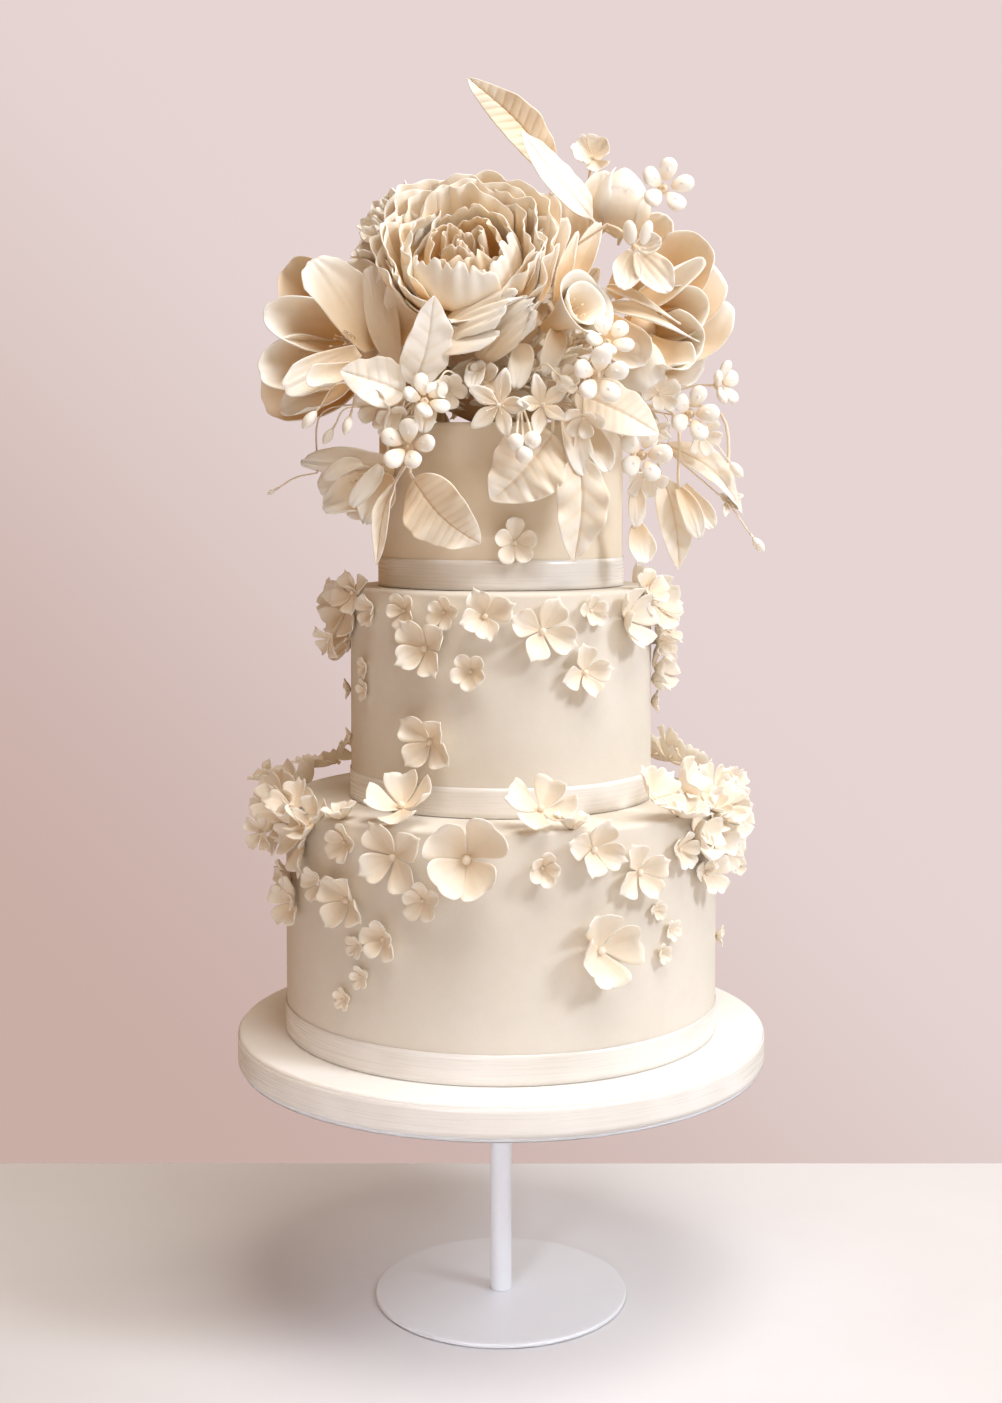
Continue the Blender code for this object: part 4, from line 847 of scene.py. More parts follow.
def buildLedgeBlossoms():
    # smaller blossoms between the big ones on both rims, half on the ledge and half over the edge
    # each: azimuth, width, outline, spin, drop below the tier's top, lean
    ledge = {
        "bottom": [(-56, 0.026, "round", 20, 0.004, 45), (-68, 0.028, "pointed", 10, 0.0, 60),
                   (-45, 0.020, "small", 0, 0.0, 80), (17.5, 0.020, "small", 20, 0.0, 80),
                   (52, 0.030, "pointed", 30, 0.0, 60), (58, 0.030, "round", 0, 0.010, 10),
                   (67, 0.030, "pointed", 50, 0.014, 15), (72, 0.032, "round", 20, 0.0, 55),
                   (76, 0.028, "pointed", 0, 0.026, 5), (63, 0.024, "small", 20, 0.040, 0),
                   (-74, 0.030, "pointed", 40, 0.004, 20), (-66, 0.024, "small", 15, 0.060, 0),
                   (-110, 0.030, "round", 20, 0.0, 40), (148, 0.030, "pointed", 0, 0.0, 45),
                   (-152, 0.030, "round", 0, 0.0, 45)],
        "middle": [(-70, 0.024, "pointed", 25, 0.002, 30), (-83, 0.026, "pointed", 0, 0.030, 0),
                   (72, 0.030, "round", 0, 0.006, 10), (66, 0.024, "small", 10, 0.002, 40),
                   (-95, 0.024, "round", 10, 0.040, 0), (88, 0.026, "round", 20, 0.056, 0),
                   (112, 0.028, "round", 10, 0.004, 20), (150, 0.028, "pointed", 0, 0.008, 10),
                   (-140, 0.028, "round", 30, 0.008, 10)]}
    for tier, specs in ledge.items():
        radius, foot, height = tierSizes[tier]
        parts = []
        for i, (azimuth, width, kind, spin, drop, lean) in enumerate(specs):
            aim = (0, -0.55, 0.10) if 60 < abs(azimuth) < 100 else (0, 0, 0)
            place = blossomPlace(azimuth, width, spin, drop, lean, 0, radius, foot + height, aim)
            parts.append(blossom(place, width * blossomFullness, kind, 5 if kind == "small" else 4, 210 + i))
        addPaste(f"ledgeBlossoms{tier.title()}", parts)


buildTierBlossoms()
buildLedgeBlossoms()
print("tier blossoms made")


# The posy's large flowers

def along(line, share):
    # the radius and height on the line bent from foot over belly to rim
    a, b, c = (1 - share) ** 2, 2 * share * (1 - share), share**2
    return [a * foot + b * belly + c * rim for foot, belly, rim in zip(*line)]


def whorlPetal(whorl, number, rng):
    # one petal wrapped round the flower's axis; its line gives (radius, height) at foot, belly and rim
    form = {"cols": 19, "rows": 13, "lobes": 5.0, "round": 0.24, "power": 2.6, "notch": 0.0, "serrate": 0.0,
            "vary": 0.06, "arc": (0, 360), "stand": 0.0, "ruffle": 0.0, "flare": 0.0, "ridge": 0.0,
            "ridges": 22, "twist": 0.0, "thick": 0.0011, "paintedDeepShade": 0.9, "paintedRimShade": 0.0, "fade": 1.5, **whorl}
    u, v = np.linspace(-1, 1, form["cols"])[None, :], np.linspace(0, 1, form["rows"])[:, None]
    ripple, frill = wobble(rng, 4, 2.4), wobble(rng, 3, 7.0)
    cuts = np.clip(1.7 * np.abs(wobble(rng, 2, form["lobes"])(u)), 0, 1) ** 0.6
    reach = v * (1 - form["round"] * np.abs(u) ** form["power"]
                 - form["notch"] * np.exp(-((u - rng.uniform(-0.2, 0.2)) / 0.16) ** 2) * v
                 - form["serrate"] * (1 - cuts) * v**2 + 0.03 * ripple(u) * v)
    size = 1 + form["vary"] * rng.uniform(-1, 1)
    start, step = form["arc"][0], (form["arc"][1] - form["arc"][0]) / form["petals"]
    jitter = rng.uniform(-0.08, 0.08) * step
    middle = math.radians(start + (number + 0.5) * step + jitter)
    # petals on the upper side stand higher than those that sink under their own weight
    stand = 1 + form["stand"] * math.cos(middle)
    line = [(r * size, h * (stand if k else 1)) for k, (r, h) in enumerate(form["line"])]
    radius, height = along(line, reach)
    spread = math.radians(form["spread"]) * (0.30 + 0.70 * np.sin(np.pi * (0.08 + 0.54 * v)))
    radius = radius + form["ruffle"] * v**1.6 * (ripple(u * 1.9) + 0.25 * frill(u)) + form["flare"] * v**4
    height = height + 0.35 * form["ruffle"] * v**2 * frill(u * 0.7 + 2)
    # soft ridges that the veiner pressed from foot to rim
    height = height + form["ridge"] * np.cos(u * form["ridges"]) * v * (1 - 0.5 * v)
    angle = middle + u * spread + form["twist"] * v
    grid = np.stack([radius * np.cos(angle), radius * np.sin(angle), height + 0 * u], -1)
    # the petal is painted warm shade towards its foot, paler towards its rim
    return shell(grid, form["thick"], 0.6, form["paintedDeepShade"], form["paintedRimShade"], 0.0, form["fade"])


def petalFrame(base, tip, facing):
    # a petal's or leaf's foot, its way to the tip, the way across it and the way out of its face
    base, tip, facing = Vector(base), Vector(tip), Vector(facing)
    way = tip - base
    across = way.cross(facing).normalized()
    return base, way, across, across.cross(way).normalized()


def twisted(turn, sideways, lift):
    return sideways * np.cos(turn) - lift * np.sin(turn), sideways * np.sin(turn) + lift * np.cos(turn)


def spreadOut(frame, reach, sideways, lift):
    base, way, across, face = (np.array(part) for part in frame)
    return base + reach[..., None] * way + sideways[..., None] * across + lift[..., None] * face


def freePetal(base, tip, facing, width, shape, seed=0):
    # one petal given in mm by where it joins, where its rim ends and which way its inner face looks
    form = {"roll": 40, "bow": 6, "curl": 0, "round": 0.26, "power": 2.3, "foot": 0.10, "full": 0.62,
            "ruffle": 1.0, "serrate": 0.0, "lobes": 4.0, "twist": 0.0, "sweep": 0.0, "ridge": 0.0,
            "ridges": 20, "thick": 1.2, "paintedDeepShade": 0.9, "paintedRimShade": 0.0, "fade": 1.5, "cols": 23, "rows": 21,
            **shape}
    rng = np.random.default_rng(1300 + seed)
    u, v = np.linspace(-1, 1, form["cols"])[None, :], np.linspace(0, 1, form["rows"])[:, None]
    ripple, frill = wobble(rng, 4, 1.6), wobble(rng, 3, 5.0)
    # an angle that runs evenly round the rim, so that the ruffles do too
    rimTurn = np.arctan2(1.3 * u, 1.12 - v)
    cuts = np.clip(1.7 * np.abs(wobble(rng, 2, form["lobes"])(rimTurn)), 0, 1) ** 0.6
    reach = v * (1 - form["round"] * np.abs(u) ** form["power"] - form["serrate"] * (1 - cuts) * v**2
                 + 0.025 * ripple(u * 2) * v)
    wide = form["foot"] + (form["full"] - form["foot"]) * v
    half = width / 2 * np.sin(np.pi * wide) ** 0.9 * (1 + 0.03 * ripple(v * 3 + np.sign(u)))
    roll = math.radians(form["roll"]) or 0.001
    sideways = half * np.sin(roll * u) / roll
    lift = half * (1 - np.cos(roll * u)) / roll
    rim = np.maximum(np.abs(u) ** 3 * np.clip(2.5 * v, 0, 1), v**3)
    lift = lift + form["ruffle"] * rim * (ripple(rimTurn * 1.4) + 0.45 * frill(rimTurn))
    lift = lift + form["ridge"] * np.cos(u * form["ridges"] + 0.6 * ripple(v)) * np.clip(2 * v, 0, 1)
    sideways, lift = twisted(form["twist"] * (v - 0.3), sideways, lift)
    sideways = sideways + form["sweep"] * np.sin(np.pi * v)
    lift = lift - form["bow"] * np.sin(np.pi * v**0.85) - form["curl"] * np.clip((v - 0.55) / 0.45, 0, 1) ** 2
    grid = spreadOut(petalFrame(base, tip, facing), reach, sideways, lift) / 1000
    # the petal is painted warm shade towards its foot, paler towards its rim
    return shell(grid, form["thick"] / 1000, 0.6, form["paintedDeepShade"], form["paintedRimShade"], 0.0, form["fade"])


moundCentre, moundRadii = Vector((0.0, 0.004, 0.640)), Vector((0.056, 0.048, 0.058))
posyFoot = tierSizes["top"][1] + tierSizes["top"][2] + gap
bowl = {"petals": 4, "spread": 46, "round": 0.15, "flare": 0.004, "cols": 37, "rows": 17, "paintedDeepShade": 1.2,
        "paintedRimShade": 0.16, "fade": 2.6}
flowerLooks = {
    "peony": {"foot": (-0.0215, -0.043, 0.670), "facing": (-0.05, -0.69, 0.72), "base": 0.011, "whorls": [
        {**bowl, "arc": (-124, 128), "line": ((0.006, 0.000), (0.054, 0.000), (0.0530, 0.040)), "stand": 0.36,
         "ruffle": 0.0052},
        {**bowl, "arc": (-104, 146), "line": ((0.005, 0.001), (0.051, 0.000), (0.0480, 0.043)), "stand": 0.30,
         "ruffle": 0.0054},
        {**bowl, "arc": (-140, 110), "line": ((0.005, 0.002), (0.048, 0.001), (0.0435, 0.045)), "stand": 0.23,
         "ruffle": 0.0054},
        {"petals": 3, "arc": (-112, 132), "spread": 54,
         "line": ((0.004, 0.003), (0.045, 0.002), (0.0385, 0.046)), "stand": 0.15, "ruffle": 0.0050,
         "round": 0.14, "flare": 0.003, "cols": 41, "rows": 17, "paintedDeepShade": 1.3, "paintedRimShade": 0.20, "fade": 2.6},
        {"petals": 4, "arc": (28, 388), "spread": 56,
         "line": ((0.003, 0.002), (0.052, 0.004), (0.0285, 0.048)), "ruffle": 0.0032, "serrate": 0.095,
         "lobes": 6.5, "round": 0.12, "ridge": 0.0005, "ridges": 24, "cols": 61, "rows": 23, "paintedDeepShade": 0.40,
         "paintedRimShade": 0.06, "thick": 0.0014, "fade": 1.2, "vary": 0.10},
        {"petals": 3, "arc": (20, 380), "spread": 62,
         "line": ((0.003, 0.006), (0.036, 0.010), (0.0190, 0.045)), "ruffle": 0.0042, "serrate": 0.05,
         "lobes": 4.0, "round": 0.14, "cols": 41, "rows": 15, "paintedDeepShade": 1.3, "paintedRimShade": 0.45, "fade": 2.2},
        {"petals": 3, "arc": (-30, 330), "spread": 58,
         "line": ((0.002, 0.008), (0.020, 0.012), (0.0110, 0.047)), "ruffle": 0.0040, "serrate": 0.05,
         "lobes": 3.0, "round": 0.20, "cols": 33, "twist": 0.4, "paintedDeepShade": 1.2, "paintedRimShade": 0.35, "fade": 1.8},
        {"petals": 2, "arc": (40, 400), "spread": 78,
         "line": ((0.001, 0.009), (0.009, 0.014), (0.0050, 0.045)), "ruffle": 0.0034, "round": 0.20,
         "cols": 29, "twist": 0.6, "paintedDeepShade": 1.1, "paintedRimShade": 0.3, "fade": 1.8}],
              "petals": [
        ((-32, -58, 664), (-34, -92, 648), (0.10, -0.35, 0.94), 58,
         {"roll": 30, "bow": 4, "ruffle": 2.8, "paintedDeepShade": 1.3, "paintedRimShade": 0.15, "fade": 3.0, "cols": 31,
          "rows": 25}),
        ((-18, -56, 654), (-8, -86, 641), (0.00, -0.40, 0.92), 54,
         {"roll": 30, "bow": 4, "ruffle": 2.8, "paintedDeepShade": 1.3, "paintedRimShade": 0.15, "fade": 3.0, "cols": 31,
          "rows": 25}),
        ((-44, -72, 636), (12, -98, 664), (-0.25, -0.75, 0.60), 30,
         {"roll": -34, "bow": -6, "serrate": 0.17, "lobes": 6.0, "ridge": 0.6, "ridges": 16, "ruffle": 3.4,
          "full": 0.60, "paintedDeepShade": 0.5, "paintedRimShade": 0.08, "cols": 33, "rows": 25}),
        ((-50, -80, 630), (-1, -96, 640), (-0.05, -0.75, 0.65), 20,
         {"roll": -35, "bow": -3, "ruffle": 2.2, "paintedDeepShade": 0.5, "full": 0.66, "cols": 29}),
        ((-14, -78, 626), (22, -94, 662), (-0.30, -0.90, 0.35), 30,
         {"roll": -29, "bow": -5, "serrate": 0.18, "lobes": 6.0, "ridge": 0.6, "ridges": 16, "ruffle": 3.6,
          "full": 0.66, "paintedDeepShade": 0.6, "cols": 33, "rows": 25}),
        ((-6, -68, 644), (26, -84, 672), (-0.35, -0.80, 0.5), 28,
         {"roll": 20, "bow": 4, "serrate": 0.12, "ruffle": 3.0, "paintedDeepShade": 0.9, "fade": 2.5, "cols": 31}),
        ((-66, -62, 622), (-83, -52, 687), (-0.45, -0.88, 0.05), 24,
         {"roll": -35, "bow": -5, "ruffle": 2.2, "ridge": 0.3, "paintedDeepShade": 0.5, "paintedRimShade": 0.1}),
        ((-60, -64, 636), (-74, -60, 686), (-0.55, -0.80, 0.1), 24, {"roll": 35, "bow": 5, "ruffle": 2.4}),
        ((-54, -66, 636), (-68, -69, 676), (-0.60, -0.78, 0.1), 22, {"roll": 35, "bow": 5, "ruffle": 2.4}),
        ((10, -52, 680), (31, -46, 733), (-0.35, -0.92, 0.1), 32,
         {"roll": 28, "bow": 6, "ruffle": 1.8, "round": 0.2, "paintedDeepShade": 1.1, "paintedRimShade": 0.2}),
        ((14, -58, 672), (41, -52, 716), (-0.45, -0.88, 0.0), 24, {"roll": 30, "bow": 5, "ruffle": 1.6}),
        ((10, -78, 664), (23, -85, 691), (-0.1, -1.0, 0.1), 15,
         {"roll": 25, "bow": 2, "ridge": 0.35, "ridges": 14, "full": 0.75, "round": 0.4}),
        ((20, -66, 660), (36, -62, 700), (0.2, -0.95, 0.1), 12,
         {"roll": 50, "bow": 3, "full": 0.8, "round": 0.45}),
        ((34, -60, 664), (49, -56, 708), (0.1, -0.95, 0.1), 12,
         {"roll": 60, "bow": -3, "twist": 0.9, "full": 0.85}),
        ((44, -56, 672), (62, -50, 716), (-0.2, -0.95, 0.1), 17,
         {"roll": 55, "bow": 4, "curl": 4, "full": 0.75})]},
    "magnolia": {"foot": (-0.088, -0.036, 0.638), "facing": (-0.60, -0.79, 0.10), "base": 0.010,
                 "stamens": (18, 0.018), "petals": [
        ((-90, -24, 645), (-140, -12, 690), (-0.15, -0.98, -0.10), 50,
         {"roll": 60, "bow": 11, "curl": -4, "paintedDeepShade": 1.1, "paintedRimShade": 0.4}),
        ((-84, -36, 642), (-148, -62, 656), (-0.05, -0.99, 0.02), 44,
         {"roll": 75, "bow": 16, "curl": 3, "round": 0.28, "thick": 1.6, "cols": 31, "rows": 27,
          "paintedDeepShade": 1.1}),
        ((-86, -32, 632), (-152, -60, 619), (0.10, -0.96, 0.24), 52,
         {"roll": 78, "bow": 17, "curl": 3, "round": 0.30, "thick": 1.6, "cols": 31, "rows": 27,
          "paintedDeepShade": 1.1}),
        ((-90, -20, 626), (-154, -30, 600), (0.05, -0.93, 0.35), 56,
         {"roll": 50, "bow": 8, "thick": 1.4, "paintedDeepShade": 1.1, "paintedRimShade": 0.4}),
        ((-92, -50, 620), (-139, -54, 595), (0.0, -0.80, 0.60), 30, {"roll": 60, "bow": 7, "paintedDeepShade": 0.9}),
        ((-90, -64, 632), (-135, -75, 606), (-0.10, -0.93, 0.35), 27,
         {"roll": 38, "bow": 4, "ruffle": 1.6, "ridge": 0.25, "paintedDeepShade": 0.5}),
        ((-94, -70, 622), (-120, -84, 611), (-0.35, -0.90, 0.15), 21,
         {"roll": 75, "bow": 5, "paintedDeepShade": 0.5, "ruffle": 0.6}),
        ((-82, -52, 634), (-117, -48, 694), (0.45, -0.88, 0.15), 42,
         {"roll": 38, "bow": 8, "curl": 9, "sweep": 5, "ruffle": 1.8, "round": 0.22, "power": 3.0,
          "paintedDeepShade": 0.7, "cols": 29, "rows": 25}),
        ((-82, -34, 650), (-96, -26, 694), (-0.2, -0.95, 0.2), 34, {"roll": 30, "bow": 6, "paintedDeepShade": 1.0})]},
    "rose": {"foot": (0.090, -0.036, 0.648), "facing": (0.35, -0.93, 0.10), "base": 0.010, "petals": [
        ((94, -34, 664), (131, -36, 704), (-0.35, -0.92, -0.15), 50,
         {"roll": 62, "bow": 13, "curl": -5, "paintedDeepShade": 1.1, "paintedRimShade": 0.2}),
        ((100, -28, 650), (141, -22, 688), (-0.45, -0.89, -0.05), 48, {"roll": 40, "bow": 8, "paintedDeepShade": 1.0}),
        ((112, -30, 630), (147, -20, 667), (-0.30, -0.95, 0.05), 36, {"roll": 30, "bow": 6, "paintedDeepShade": 0.7}),
        ((96, -26, 640), (134, -14, 628), (-0.25, -0.93, 0.20), 46, {"roll": 38, "bow": 8}),
        ((82, -38, 650), (131, -52, 664), (-0.12, -0.99, -0.14), 46,
         {"roll": 74, "bow": 16, "round": 0.28, "paintedDeepShade": 1.2, "thick": 1.6, "cols": 31, "rows": 25}),
        ((78, -42, 640), (128, -62, 637), (0.00, -0.99, 0.14), 52,
         {"roll": 80, "bow": 18, "round": 0.28, "paintedDeepShade": 1.3, "thick": 1.6, "cols": 31, "rows": 27}),
        ((92, -50, 640), (118, -74, 622), (-0.30, -0.55, 0.78), 30, {"roll": 45, "bow": 7, "paintedDeepShade": 0.9}),
        ((76, -56, 642), (94, -74, 611), (-0.25, -0.88, 0.40), 32,
         {"roll": -28, "bow": -5, "curl": 4, "paintedDeepShade": 0.6}),
        ((62, -62, 655), (88, -76, 622), (0.20, -0.92, 0.35), 34, {"roll": 35, "bow": 6, "paintedDeepShade": 1.0}),
        ((70, -56, 668), (96, -74, 690), (0.20, -0.92, -0.35), 26, {"roll": 45, "bow": 6, "paintedDeepShade": 0.9}),
        ((80, -60, 658), (128, -63, 690), (0.15, -0.95, -0.25), 25,
         {"roll": 85, "bow": 5, "full": 0.75, "round": 0.40, "paintedDeepShade": 0.9}),
        ((66, -74, 671), (111, -86, 647), (0.25, -0.90, 0.35), 10,
         {"roll": 60, "bow": -3, "twist": 1.3, "full": 0.90, "ruffle": 0.3, "paintedDeepShade": 0.7}),
        ((66, -77, 659), (122, -88, 636), (0.25, -0.85, 0.45), 14,
         {"roll": 55, "bow": -4, "twist": 1.2, "full": 0.90, "ruffle": 0.3, "paintedDeepShade": 0.6})]},
    "carnation": {"foot": (-0.058, -0.012, 0.706), "facing": (-0.66, -0.58, 0.48), "base": 0.008, "whorls": [
        {"petals": 5, "spread": 44, "line": ((0.002, 0.004), (0.033, 0.002), (0.037, 0.016)),
         "ruffle": 0.0046, "serrate": 0.05, "ridge": 0.0005, "ridges": 16, "paintedDeepShade": 0.7, "cols": 27},
        {"petals": 5, "spread": 44, "line": ((0.002, 0.005), (0.029, 0.004), (0.031, 0.023)),
         "arc": (25, 385), "ruffle": 0.0048, "serrate": 0.06, "ridge": 0.0005, "ridges": 16, "paintedDeepShade": 0.7,
         "cols": 27},
        {"petals": 5, "spread": 44, "line": ((0.002, 0.006), (0.023, 0.006), (0.024, 0.028)),
         "arc": (50, 410), "ruffle": 0.0046, "serrate": 0.08, "paintedDeepShade": 0.8, "cols": 27},
        {"petals": 4, "spread": 50, "line": ((0.002, 0.007), (0.016, 0.008), (0.016, 0.031)),
         "ruffle": 0.0044, "serrate": 0.10, "paintedDeepShade": 0.8, "cols": 27},
        {"petals": 3, "spread": 60, "line": ((0.001, 0.008), (0.009, 0.010), (0.008, 0.032)),
         "arc": (20, 380), "ruffle": 0.0036, "serrate": 0.12, "paintedDeepShade": 0.8}]},
    "back_rose": {"foot": (0.012, 0.058, 0.680), "facing": (0.15, 0.95, 0.35), "base": 0.010, "whorls": [
        {"petals": 5, "spread": 46, "line": ((0.006, 0.002), (0.052, -0.006), (0.046, 0.018)), "flare": 0.003,
         "ruffle": 0.0020, "round": 0.26, "power": 2.4, "thick": 0.0013, "cols": 25, "rows": 15,
         "vary": 0.10},
        {"petals": 4, "spread": 52, "line": ((0.005, 0.004), (0.044, -0.004), (0.040, 0.025)),
         "arc": (36, 396), "flare": 0.003, "ruffle": 0.0020, "round": 0.24, "power": 2.4, "thick": 0.0013,
         "cols": 25, "rows": 15},
        {"petals": 3, "spread": 64, "line": ((0.004, 0.006), (0.034, 0.001), (0.029, 0.032)),
         "arc": (10, 370), "flare": 0.002, "ruffle": 0.0020, "round": 0.22, "power": 2.6, "thick": 0.0013,
         "cols": 25, "twist": 0.2},
        {"petals": 3, "spread": 66, "line": ((0.003, 0.007), (0.022, 0.006), (0.016, 0.035)),
         "arc": (75, 435), "ruffle": 0.0016, "round": 0.20, "twist": 0.5},
        {"petals": 3, "spread": 70, "line": ((0.001, 0.007), (0.011, 0.010), (0.008, 0.035)),
         "arc": (20, 380), "ruffle": 0.0010, "round": 0.14, "twist": 0.9}]},
    "back_peony": {"foot": (-0.046, 0.054, 0.634), "facing": (-0.50, 0.84, 0.05), "base": 0.009, "whorls": [
        {"petals": 5, "spread": 44, "line": ((0.002, 0.004), (0.038, -0.002), (0.039, 0.016)),
         "ruffle": 0.0034, "notch": 0.10, "cols": 25},
        {"petals": 5, "spread": 44, "line": ((0.002, 0.005), (0.033, 0.000), (0.034, 0.022)),
         "arc": (25, 385), "ruffle": 0.0034, "serrate": 0.06, "cols": 25},
        {"petals": 5, "spread": 44, "line": ((0.002, 0.007), (0.026, 0.003), (0.027, 0.026)),
         "arc": (50, 410), "ruffle": 0.0030, "serrate": 0.08, "cols": 25},
        {"petals": 5, "spread": 46, "line": ((0.001, 0.008), (0.024, 0.008), (0.013, 0.030)),
         "arc": (10, 370), "ruffle": 0.0016, "serrate": 0.16, "lobes": 8.0, "round": 0.08, "cols": 37,
         "paintedDeepShade": 0.4},
        {"petals": 4, "spread": 50, "line": ((0.001, 0.008), (0.015, 0.010), (0.006, 0.030)),
         "arc": (40, 400), "ruffle": 0.0026, "serrate": 0.16, "cols": 29}]},
    "lily": {"foot": (-0.072, -0.050, 0.557), "facing": (-0.90, -0.28, -0.24), "base": 0.0042,
             "stamens": (7, 0.026), "petals": [
        ((-70, -40, 558), (-118, -30, 546), (-0.1, -0.95, -0.1), 34,
         {"roll": 30, "bow": 5, "ruffle": 2.6, "paintedDeepShade": 0.9}),
        ((-70, -44, 556), (-100, -36, 530), (-0.2, -0.95, 0.1), 28,
         {"roll": 30, "bow": 4, "ruffle": 2.6, "paintedDeepShade": 0.9}),
        ((-68, -50, 561), (-128, -44, 563), (0.0, -0.80, -0.60), 27,
         {"roll": -42, "bow": -4, "ruffle": 2.4, "full": 0.72, "round": 0.34, "ridge": 0.2, "paintedDeepShade": 0.3,
          "cols": 27}),
        ((-72, -54, 556), (-113, -56, 533), (-0.15, -0.95, 0.2), 27,
         {"roll": 35, "bow": 5, "ruffle": 3.0, "serrate": 0.08, "full": 0.70, "paintedDeepShade": 0.8}),
        ((-72, -58, 555), (-87, -62, 524), (-0.35, -0.92, 0.1), 26,
         {"roll": 30, "bow": 4, "ruffle": 2.8, "serrate": 0.08, "full": 0.70, "paintedDeepShade": 0.7}),
        ((-76, -66, 560), (-93, -79, 536), (0.45, -0.80, 0.35), 14,
         {"roll": 60, "bow": -4, "curl": 3, "paintedDeepShade": 0.2}),
        ((-88, -58, 561), (-111, -66, 554), (0.0, -0.85, 0.5), 14,
         {"roll": 65, "bow": -3, "curl": 3, "paintedDeepShade": 0.2})]},
}


def toMound(point):
    # the way of a stem from a flower's back over the top tier's rim and into the posy's middle
    path = [Vector(point)]
    if path[0].z < posyFoot + 0.006:
        path.append(Vector((path[0].x * 0.97, path[0].y * 0.97, posyFoot + 0.007)))
    last = path[-1]
    height = min(max(last.z, posyFoot + 0.009), moundCentre.z + 0.6 * moundRadii.z)
    aim = Vector((0.3 * last.x, 0.3 * last.y, height))
    return bend([*path, last.lerp(aim, 0.5) + Vector((0, 0, 0.004)), last.lerp(aim, 0.80)])


def makeFilament():
    # a stamen 1 tall: a thin bowed thread with a small oval anther
    line = [Vector((0.10 * math.sin(2.2 * t), 0.0, t)) for t in (0, 0.25, 0.5, 0.75, 0.95)]
    thread = wires([line], 0.020, 4)
    anther = blob((0.10 * math.sin(2.1), 0, 0.97), (0.050, 0.050, 0.075), sides=6, rings=4, depth=0.45)
    return makeTemplate("filament", [thread, anther])


filament = makeFilament()


def stamenParts(place, count, tall, lean, seed):
    return meshParts(roundTheHeart([(place, tall)], filament, count, seed, lean * 0.55, lean * 0.45, 0.3, 0.3,
                                   0.12, 0.05))


def buildFlowers():
    for seed, (node, look) in enumerate(flowerLooks.items()):
        rng = np.random.default_rng(100 + seed)
        place = flowerMatrix(look["foot"], look["facing"])
        base = look["base"]
        # the flower's heart is a ball tinted with painted warm shade
        parts = [blob(look["foot"], (base, base, base), sides=20, rings=12, depth=0.7)]
        for whorl in look.get("whorls", []):
            parts += [placed(whorlPetal(whorl, number, rng), place) for number in range(whorl["petals"])]
        parts += [freePetal(*petal, seed=40 * seed + i) for i, petal in enumerate(look.get("petals", []))]
        if "stamens" in look:
            heart = place @ Matrix.Translation((0, 0, base * 0.8))
            parts.append(stamenParts(heart, *look["stamens"], 0.6, seed))
        parts.append(wires([toMound(look["foot"])], 0.0012))
        addPaste("sugarOpenRose" if node == "rose" else pieceName(node), parts, node)


buildFlowers()
print("large flowers made")


# Leaves

def leafParts(base, tip, facing, width, arch, stalk=0.15, fold=0.25, wave=0.0012, curl=0.0, veins=7, seed=0,
              cols=29, rows=56, sweep=0.0, twist=0.0, press=0.00045, paintedDeepShade=0.35):
    # a leaf folded along its rib, with side veins pressed in, a wavy edge and a tip that may curl; rib and
    # veins are darkened with painted shade
    rng = np.random.default_rng(500 + seed)
    frame = petalFrame(base, tip, facing)
    u, v = np.linspace(-1, 1, cols)[None, :], np.linspace(0, 1, rows)[:, None]
    blade = np.clip((v - stalk) / (1 - stalk), 0, 1)
    half = np.maximum(0.0008, width / 2 * np.sin(np.pi * blade**0.78) ** 0.70)
    rippleLeft, rippleRight = wobble(rng, 3, 5.0), wobble(rng, 3, 5.0)
    side = np.where(u < 0, rippleLeft(v * 2.2), rippleRight(v * 2.2))
    half = half * (1 + 0.05 * side * (blade > 0))
    near = np.clip(half / (0.25 * width), 0, 1)
    lift = arch * np.sin(np.pi * v) + fold * half * np.abs(u) + wave * side * np.abs(u) ** 2 * near
    rib = np.exp(-((u * half) / 0.0006) ** 2) * near
    slant = blade * veins - 1.15 * np.abs(u) * np.clip(half / (0.5 * width), 0.2, 1)
    groove = np.exp(-((np.mod(slant, 1) - 0.5) / 0.16) ** 2) * (1 - 0.55 * np.abs(u)) * near * (blade > 0.04)
    lift = lift - 0.0009 * rib - press * groove
    # the tip rolls over, and the whole leaf may turn a little about its rib
    lift = lift + curl * np.clip(v - 0.6, 0, 1) ** 2 * 3 * frame[1].length
    sideways, lift = twisted(twist * (v - 0.3), u * half, lift)
    grid = spreadOut(frame, v, sideways + sweep * np.sin(np.pi * v), lift)
    # painted shade along the pressed rib and vein grooves, and warmer towards the stalk
    return shell(grid, 0.0011, 0.45, paintedDeepShade, 0.3 * paintedDeepShade, 0.24 * np.clip(rib + 0.7 * groove, 0, 1))


